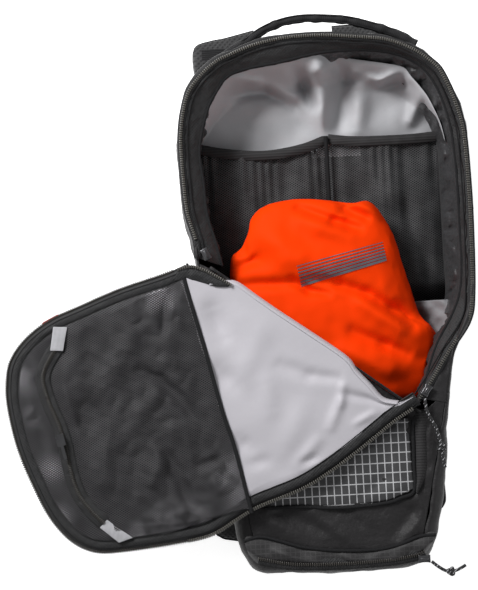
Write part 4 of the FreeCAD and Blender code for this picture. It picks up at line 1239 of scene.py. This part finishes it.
# Painted glint strength at each point: high at the listed spots, faded out near the flap's edge.
glint_strength = backing.data.attributes.new("painted_glint", "FLOAT", "POINT")
for vert, value in zip(backing.data.vertices, glint_strength.data):
    p = Vector((vert.co.x / MM, vert.co.y / MM))
    rim_gap = min((p - q).length for q in FLAP_LINE[4:180:3])
    lit = max(math.exp(-((p - Vector(g[:2])).length / g[2]) ** 2) for g in GLINTS)
    value.value = lit * smoothstep(4, 9, rim_gap)


def flap_lip(points, h, radius=1.3, count=80, flat=0.8):
    path = [seen(p.x, p.y, flap_z(p.x, p.y) + h) for p in smooth_line(points, count)]
    return tube(path, radius, 8, flat=flat)


make("flap_mesh_binding", flap_lip(MESH_EDGE[::8], 8.6, 1.8, flat=0.6), BINDING, "front_flap")


def pocket_zip_height(x, y):
    return flap_z(x, y) + 10.0


make("flap_pocket_zip_tape", between(parallel(POCKET_ZIP, -7.0), parallel(POCKET_ZIP, 7.0), 90, 8,
                                     lambda x, y, u, v: pocket_zip_height(x, y) - 0.8
                                     + 0.8 * math.sin(math.pi * v) + wrinkle(x, y, 10, 0.6)),
     TAPE, "front_flap", ["flap_pocket_zip"], thick=0.8)
# Pocket zip teeth use the darker copy: painted shade.
make("flap_pocket_zip_teeth", coil(POCKET_ZIP, lambda x, y: pocket_zip_height(x, y) + 0.6, 1.8, (3.6, 1.1,
                                                                                                 1.4)),
     ZIP_TEETH_SHADED, "front_flap")
CORNER = smooth_line([(-140, 44), (-128, 46), (-116, 42), (-104, 35), (-92, 27)], 40)
CORNER_IN = smooth_line([(-144, 33), (-130, 33), (-117, 30), (-106, 26), (-94, 25)], 40)
make("flap_corner_tape", between(parallel(CORNER, -1.0), CORNER_IN, 40, 10,
                                 lambda x, y, u, v: flap_z(x, y) + 7.6 + 1.4 * math.sin(math.pi * v)
                                 + wrinkle(x, y, 8, 0.6)), TAPE, "front_flap", thick=0.9)
# Corner teeth use the lighter copy: painted highlight.
make("flap_corner_teeth", coil(CORNER, lambda x, y: flap_z(x, y) + 9.2), ZIP_TEETH_LIT, "front_flap")


def tab(name, corners, h, material, nodes=()):
    a, b, c, d = [Vector(p) for p in corners]
    line_a, line_b = smooth_line([a, a.lerp(b, 0.5), b], 12), smooth_line([d, d.lerp(c, 0.5), c], 12)
    height = (lambda x, y, u, v: flap_z(x, y) + h + 0.8 * math.sin(math.pi * u) * math.sin(math.pi * v))
    make(name, between(line_a, line_b, 12, 10, height), material, "front_flap", nodes, thick=1.2,
         bevel=0.3)


tab("grey_tab_top", [(-259, -3), (-246, -4), (-251, -26), (-263, -25)], 11.8, GREY_TAPE)
tab("grey_tab_low", [(-219, -185), (-196, -203), (-209, -207), (-226, -192)], 10.0, GREY_TAPE)
tab("orange_edge_tab", [(-269, 1.5), (-254, 8.5), (-250, -1), (-266, -9)], 0.8, ORANGE_TAPE,
    ["flap_edge_tab"])
print("flap pocket made")

# %% [markdown]
# Flap and front are one cloth, so the hinge is only a fold. The lining's roll rides with the
# flap, and the strip of shell cloth inside the fold rides on neither body.

# %% Fold strips


def fold_roll(u, v):
    p = at(LINING_FOLD, u)
    turn = math.pi * 0.55 * v
    p = p - BELOW * (4.5 * math.sin(turn))
    h = 8.5 + 8.5 * math.cos(turn)
    return seen(p.x, p.y, rim_z(p.x, p.y) + h), (p.x, p.y + v * 25)


def fold_inside(u, v):
    p = at(FRONT_TOP, u) - BELOW * (2.0 - 2.0 * math.cos(math.pi * (2 * v - 1) / 2))
    return seen(p.x, p.y, rim_z(p.x, p.y) + 2.0 + 9.6 * v), (p.x, p.y + v * 12)


make("fold_lining", laid_grid(160, 12, fold_roll), FLAP_LINING, "front_flap", thick=0.6)
strip = make("fold_shell", laid_grid(160, 14, fold_inside), SHELL, None, thick=0.6)
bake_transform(strip)
print("fold made")

# %% [markdown]
# ## Sliders and pull cords
# Each slider is a bevelled plate with a raised bridge. The pull is a braided cord that leaves the
# bridge, runs through its own knot and ends in a short tail. The cord is a smooth curve through
# the same points as the engineering model.

# %% Sliders
METAL = moulded("slider_gunmetal", (0.10, 0.10, 0.105), rough=0.3, metal=0.85, on_cad=True)


def slider(name, node, body, place, heading):
    """A slider body with waisted sides, and a bridge over it."""
    mesh = bmesh.new()
    for size, low in (((11.0, 7.6, 2.4), 5.7), ((7.0, 2.4, 2.0), 8.1)):
        made = bmesh.ops.create_cube(mesh, size=1.0)["verts"]
        bmesh.ops.transform(mesh, verts=made, matrix=Matrix.Translation((0, 0, low + size[2] / 2))
                            @ Matrix.Diagonal((*size, 1)))
    bmesh.ops.subdivide_edges(mesh, edges=[e for e in mesh.edges if e.calc_length() > 10], cuts=2)
    for vert in mesh.verts:
        if abs(vert.co.x) < 3 and abs(vert.co.y) > 3:
            vert.co.y *= 0.82
    bmesh.ops.bevel(mesh, geom=mesh.edges[:], offset=0.55, segments=2, profile=0.5, affect="EDGES",
                    material=-1)
    for vert in mesh.verts:
        turned = Matrix.Rotation(math.radians(heading), 3, "Z") @ vert.co
        vert.co = place(turned) * MM
    return make(name, mesh, METAL, body, [node], smooth=True)


slider("right_slider", "main_slider_right", "main_slider_right",
       lambda p: on_rim(82.8 + p.x, -81.5 + p.y, p.z), 56)
slider("left_slider", "main_slider_left", "main_slider_left",
       lambda p: on_rim(-113.2 + p.x, 56.0 + p.y, p.z), 115)
slider("base_zip_slider", "base_slider", "base_slider",
       lambda p: on_panel(72.0 + p.x, -235.0 + p.y, p.z + 2.7), 0)
print("sliders made")

# %% Pull cords
CORD_WIDTH = 3.0 * MM


def cord_curve(name, route):
    data = bpy.data.curves.new(name, "CURVE")
    data.dimensions = "3D"
    line = data.splines.new("NURBS")
    line.points.add(len(route) - 1)
    for point, spot in zip(line.points, route):
        point.co = (*(spot * MM), 1)
    line.order_u = 3
    line.use_endpoint_u = True
    line.resolution_u = 8
    curve = bpy.data.objects.new(name, data)
    bpy.context.scene.collection.objects.link(curve)
    bpy.context.view_layer.update()
    bare = bpy.data.meshes.new_from_object(curve.evaluated_get(bpy.context.evaluated_depsgraph_get()))
    points = [v.co / MM for v in bare.vertices]
    data.bevel_depth = CORD_WIDTH / 2
    data.bevel_resolution = 3
    data.materials.append(CORD)
    return curve, points


def knot_at(name, points, share, body, node):
    """An overhand knot: a three-lobed closed strand round the cord."""
    spot, ahead = at(points, share), at(points, min(1.0, share + 0.05))
    along = (ahead - spot).normalized()
    side = along.cross(Vector((0, 0, 1))).normalized()
    rise = side.cross(along)
    ring = []
    for i in range(72):
        t = 2 * math.pi * i / 72
        a, b, c = math.sin(t) + 2 * math.sin(2 * t), math.cos(t) - 2 * math.cos(2 * t), -math.sin(3 * t)
        ring.append(spot + side * (a * 1.15) + along * (b * 1.0) + rise * (c * 1.5))
    return make(name, tube(ring, 1.45, 8, up=tuple(rise), closed=True), CORD, body, [node])


RIGHT_ROUTE = [on_rim(*p) for p in [(80.6, -89.0, 9.6), (80.4, -98.0, 9.6), (84.2, -107.0, 9.6),
                                    (89.0, -115.6, 9.2), (91.2, -125.0, 8.6), (93.4, -134.4, 7.8),
                                    (94.0, -144.0, 7.0), (95.4, -153.0, 6.2)]]
BASE_ROUTE = [on_panel(*p) for p in [(78.4, -237.4, 12.2), (84.6, -243.0, 12.2), (92.4, -247.8, 10.8),
                                     (101.4, -247.4, 9.0), (109.4, -242.6, 8.0)]]
for side, body, route, long, share in (("right", "pull_right", RIGHT_ROUTE, 0.0666, 0.74),
                                       ("base", "pull_base", BASE_ROUTE, 0.0357, 0.62)):
    curve, points = cord_curve(f"pull_cord_{side}_braid", route)
    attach(curve, body)
    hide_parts(f"pull_cord_{side}")
    knot = knot_at(f"pull_knot_{side}_braid", points, share, body, f"pull_knot_{side}")
print("cords made")

# %% [markdown]
# ## Grab handle
# The handle is webbing rolled into a soft bar and bound with tape, sewn to the rim at both ends.

# %% Handle
HANDLE_LINE = [seen(p.x, p.y, p.z) for p in smooth_line(
    [(-94, 233, 95), (-78, 244, 93), (-63, 252, 92), (-49, 261, 92), (-31, 267.5, 92), (-11, 270, 92),
     (14, 268.5, 92), (33, 265.5, 92), (57, 258, 92), (76, 250, 92), (92, 240, 94)], 90)]


def handle_radius(u):
    middle = math.sin(math.pi * u)
    return 5.4 - 1.6 * middle + 0.35 * math.sin(u * 63) + 0.25 * math.sin(u * 101)


make("grab_handle_webbing", tube(HANDLE_LINE, handle_radius, 16, flat=1.35), WEBBING, "grab_handle",
     ["grab_handle"])
for label, gap in (("handle_binding_outer", -3.0), ("handle_binding_inner", 3.0)):
    edge = []
    for i, p in enumerate(HANDLE_LINE):
        along = (HANDLE_LINE[min(i + 1, 90)] - HANDLE_LINE[max(i - 1, 0)]).normalized()
        edge.append(p + Vector((along.y, -along.x, 0)) * gap + Vector((0, 0, 4.2)))
    make(label, tube(edge, 0.8, 6), BINDING, "grab_handle")


def anchor(name, x, y, nodes):
    """A webbing tab sewn flat on the wall below one end of the handle."""
    start = min(range(300), key=lambda i: (PACK_LINE[i] - Vector((x, y))).length) / 300

    def place(u, v):
        p = pack_point(start + (u - 0.5) * 0.019, -1.6 - 1.2 * math.sin(math.pi * v))
        return Vector((p.x, p.y, 64 + 30 * v)), (u * 24, v * 30)
    make(name, laid_grid(10, 10, place), WEBBING, "pack", nodes, thick=1.4, bevel=0.3)


anchor("handle_anchor_left", -84, 244, ["handle_anchors"])
anchor("handle_anchor_right", 88, 243, [])
print("handle made")

# %% [markdown]
# ## Harness
# Underneath are the pads and straps that carry the pack. Each pad is a foam slab under dimpled
# air mesh: a rounded closed form whose cover pulls in at sewn channels, bound with tape.

# %% Pads and straps


def cushion(line, widths, low, high, channels=0, columns=72, sides=28, rounding=11.0):
    """A slab of foam along a plan line, rounded at its ends and pinched at its channels."""
    path = smooth_line(line, columns)
    spread = [Vector((w, 0)) for w in widths]
    length = sum((b - a).length for a, b in zip(path, path[1:]))
    mid, half = (low + high) / 2, (high - low) / 2

    def place(u, v):
        p, ahead, shade_sheet = at(path, u), at(path, u + 0.01), at(path, u - 0.01)
        along = (ahead - shade_sheet).normalized()
        side = Vector((along.y, -along.x))
        end = min(1.0, min(u, 1 - u) * length / rounding)
        cap = math.sqrt(max(0.0, 1 - (1 - end) ** 2))
        wide = at(spread, u).x / 2 - rounding * (1 - cap)
        c, s = math.cos(2 * math.pi * v), math.sin(2 * math.pi * v)
        across = math.copysign(abs(c) ** 0.45, c)
        pinch = 1.0
        if channels:
            phase = (u * (channels + 1)) % 1.0
            near = min(phase, 1 - phase) * length / (channels + 1)
            pinch = 1 - 0.42 * math.exp(-(near / 3.2) ** 2) * smoothstep(0.01, 0.05, min(u, 1 - u))
        thick = half * math.copysign(abs(s) ** 0.6, s) * cap ** 0.6 * pinch * (1 - 0.12 * across ** 4)
        q = p + side * (wide * across)
        return Vector((q.x, q.y, mid + thick)), (q.x, q.y + abs(s) * 2)
    rim = []
    for k in range(73):
        rim.append(place(k / 72, 0.0)[0])
    for k in range(73):
        rim.append(place(1 - k / 72, 0.5)[0])
    return laid_grid(columns, sides, place, closed=True), rim


def pad(name, line, widths, low, high, body, node, channels=0, rounding=11.0):
    mesh, rim = cushion(line, widths, low, high, channels, rounding=rounding)
    piece = make(name, mesh, PAD, body, [node] if node else [])
    edge = smooth_line(rim[::3], 120, closed=True)
    make(name + "_binding", tube(edge, 1.5, 8, closed=True), BINDING, body)
    return piece


def band(name, path, width, thick, body, node=None, material=WEBBING, across=None):
    """A strap of webbing along a path of points, flat in the plane."""
    line = smooth_line(path, 50)

    def place(u, v):
        p = at(line, u)
        along = (at(line, u + 0.02) - at(line, u - 0.02)).normalized()
        side = along.cross(Vector((0, 0, 1))).normalized()
        q = p + side * ((v - 0.5) * width)
        return q + Vector((0, 0, thick / 2)), (p.length, v * width)
    return make(name, laid_grid(50, 8, place), material, body, [node] if node else [], thick=thick,
                bevel=0.25)


pad("spine_pad_cushion", [(0, -116), (0, 30), (0, 186)], [42, 42], 0.8, 17.2, "pack", "spine_pad", channels=6)
pad("lumbar_pad_cushion", [(-44, -163.5), (0, -163.5), (44, -163.5)], [79, 79], 0.8, 17.2, "pack",
    "lumbar_pad", channels=3)
pad("base_bumper_cushion", [(-78, -236), (0, -236), (78, -236)], [13, 13], 1.0, 17.0, "pack", "base_bumper",
    rounding=6.0)
STRAPS = {"left": (1, 0.0), "right": (-1, -16.0)}
for name, (side, shift) in STRAPS.items():
    line = [(x * side + shift, y) for x, y in [(-82, 257), (-84, 200), (-88, 140), (-90, 80), (-86, 30),
                                               (-80, -12)]]
    body = f"shoulder_strap_{name}"
    pad(f"shoulder_strap_{name}_pad", line, [54, 56, 56, 52, 44, 36], 7.4, 14.6, body, body, channels=0)
    foot = -80 * side + shift
    band(f"strap_webbing_{name}", [(x, y, 6.7) for x, y in line[1:]], 20, 1.0, body)
    band(f"strap_anchor_{name}", [(-82 * side + shift, y, 16.6) for y in (191, 225, 257)], 52, 1.6, "pack",
         "strap_anchors" if name == "left" else None)
    band(f"lower_webbing_{name}_strap", [(foot, -39.5, 11.8), (foot, -100, 11.8), (foot, -158, 11.8)], 25,
         1.4, f"lower_webbing_{name}", f"lower_webbing_{name}")
    chest = -90 * side + shift
    toward = 1 if chest < 0 else -1
    body = f"sternum_strap_{name}"
    band(f"sternum_webbing_{name}", [(chest + toward * 10, 80, 3.7), (toward * -60, 80, 3.7),
                                     (toward * -31, 80, 3.7)], 14, 1.3, body, body)
    for part, x, width in (("clip", chest, 20), ("buckle", toward * -40, 20)):
        low, high = (2.8, 5.9) if part == "clip" else (1.8, 5.8)
        mesh, rim = cushion([(x - width / 2, 80), (x, 80), (x + width / 2, 80)],
                            [18 if part == "clip" else 22] * 2, low, high, columns=24, sides=20,
                            rounding=3.0)
        make(f"sternum_{part}_{name}", mesh, PLASTIC, body)
for name, x, y, wide in (("left", (-62, -90, -121), -196, (55, 55, 44)),
                         ("right", (59, 81, 105), -183, (49, 49, 40))):
    body = f"hip_wing_{name}"
    pad(f"hip_wing_{name}_pad", [(k, y) for k in x], wide, 2.2, 10.0, body, body, channels=1)
STRAP_TOPS = {"left": [(-114, 236), (-114.5, 250), (-112, 260), (-98, 264), (-84, 266), (-56, 272)],
              "right": [(20, 272), (44, 272), (68, 268), (98, 252)]}
for name, line in STRAP_TOPS.items():
    top = smooth_line(line, 40)
    low = [Vector((p.x * 0.97, 226)) for p in top]

    def strap_top(u, v):
        p = at(top, u).lerp(at(low, u), v)
        arch = 5.0 * math.sin(math.pi * min(1.0, v * 1.6) * 0.5)
        return Vector((p.x, p.y, 11.5 + arch)), (p.x, p.y)
    make(f"strap_top_{name}", laid_grid(50, 24, strap_top), PAD, "pack", thick=3.0)
    edge = [Vector((p.x, p.y, 11.5)) for p in top]
    make(f"strap_top_{name}_binding", tube(edge, 2.2, 8), BINDING, "pack")
print("harness made")

# %% [markdown]
# ## Finishes for the engineered parts
# Buckles, frame, blower and electronics keep their engineered shapes. Only their material slots
# change, to moulded nylon, brushed alloy, rubber and so on.

# %% Materials on carried-over parts
FINISHES = {
    "frame_sheet": moulded("frame_sheet_plastic", (0.03, 0.03, 0.032), rough=0.5),
    "frame_stays": moulded("stay_alloy", (0.55, 0.55, 0.57), rough=0.35, metal=1.0),
    "blower_housing": moulded("housing_plastic", (0.04, 0.04, 0.043), rough=0.4),
    "blower_motor": moulded("motor_steel", (0.45, 0.44, 0.43), rough=0.3, metal=1.0),
    "impeller": moulded("impeller_plastic", (0.35, 0.35, 0.36), rough=0.35),
    "air_duct": moulded("duct_rubber", (0.02, 0.02, 0.02), rough=0.75),
    "supercapacitor_pack": moulded("capacitor_wrap", (0.02, 0.05, 0.14), rough=0.35),
    "control_module": moulded("module_plastic", (0.05, 0.05, 0.055), rough=0.45),
    "power_button": moulded("button_plastic", (0.7, 0.08, 0.01), rough=0.35),
    "cable_grommet": moulded("grommet_plastic", (0.02, 0.02, 0.02), rough=0.5),
    "flap_pocket_slider": METAL,
    "trigger_handle": moulded("trigger_plastic", (0.75, 0.07, 0.005), rough=0.4),
}
for name in ("ladder_lock_left", "ladder_lock_right", "hip_buckle_tongue", "hip_buckle_socket"):
    FINISHES[name] = PLASTIC
for name, material in FINISHES.items():
    for cad_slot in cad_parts[name].material_slots:
        cad_slot.material = material


def bulkhead_place(u, v):
    x, z = -100 + 200 * u, 27 + 68 * v
    return Vector((x, -107.5 + 2.5 * math.sin(math.pi * u) * math.sin(math.pi * v) + wrinkle(x, z, 24, 1.5),
                   z)), (x, z)


make("bulkhead_cloth", laid_grid(40, 16, bulkhead_place), DIVIDER, "pack", ["bulkhead"],
     thick=1.6)
print("finishes set on", len(FINISHES), "parts")

# %% [markdown]
# Each cloth is cut flat before it is sewn in.

# %% [markdown]
# ## Floor
# The floor is pale and lets the camera look up through it.

# %% Floor


def pale_floor():
    material = bpy.data.materials.new("pale_floor")
    material.use_nodes = True
    tree = material.node_tree
    shader = tree.nodes["Principled BSDF"]
    shader.inputs["Base Color"].default_value = (0.93, 0.93, 0.93, 1)
    shader.inputs["Roughness"].default_value = 0.9
    shader.inputs["Emission Color"].default_value = (1, 1, 1, 1)
    shader.inputs["Emission Strength"].default_value = 0.75
    side = tree.nodes.new("ShaderNodeNewGeometry")
    front = tree.nodes.new("ShaderNodeMath")
    front.operation = "SUBTRACT"
    front.inputs[0].default_value = 1.0
    tree.links.new(side.outputs["Backfacing"], front.inputs[1])
    tree.links.new(front.outputs[0], shader.inputs["Alpha"])
    mesh = bmesh.new()
    bmesh.ops.create_grid(mesh, x_segments=1, y_segments=1, size=3.0)
    data = bpy.data.meshes.new("floor")
    mesh.to_mesh(data)
    data.materials.append(material)
    floor = bpy.data.objects.new("floor", data)
    bpy.context.scene.collection.objects.link(floor)


pale_floor()
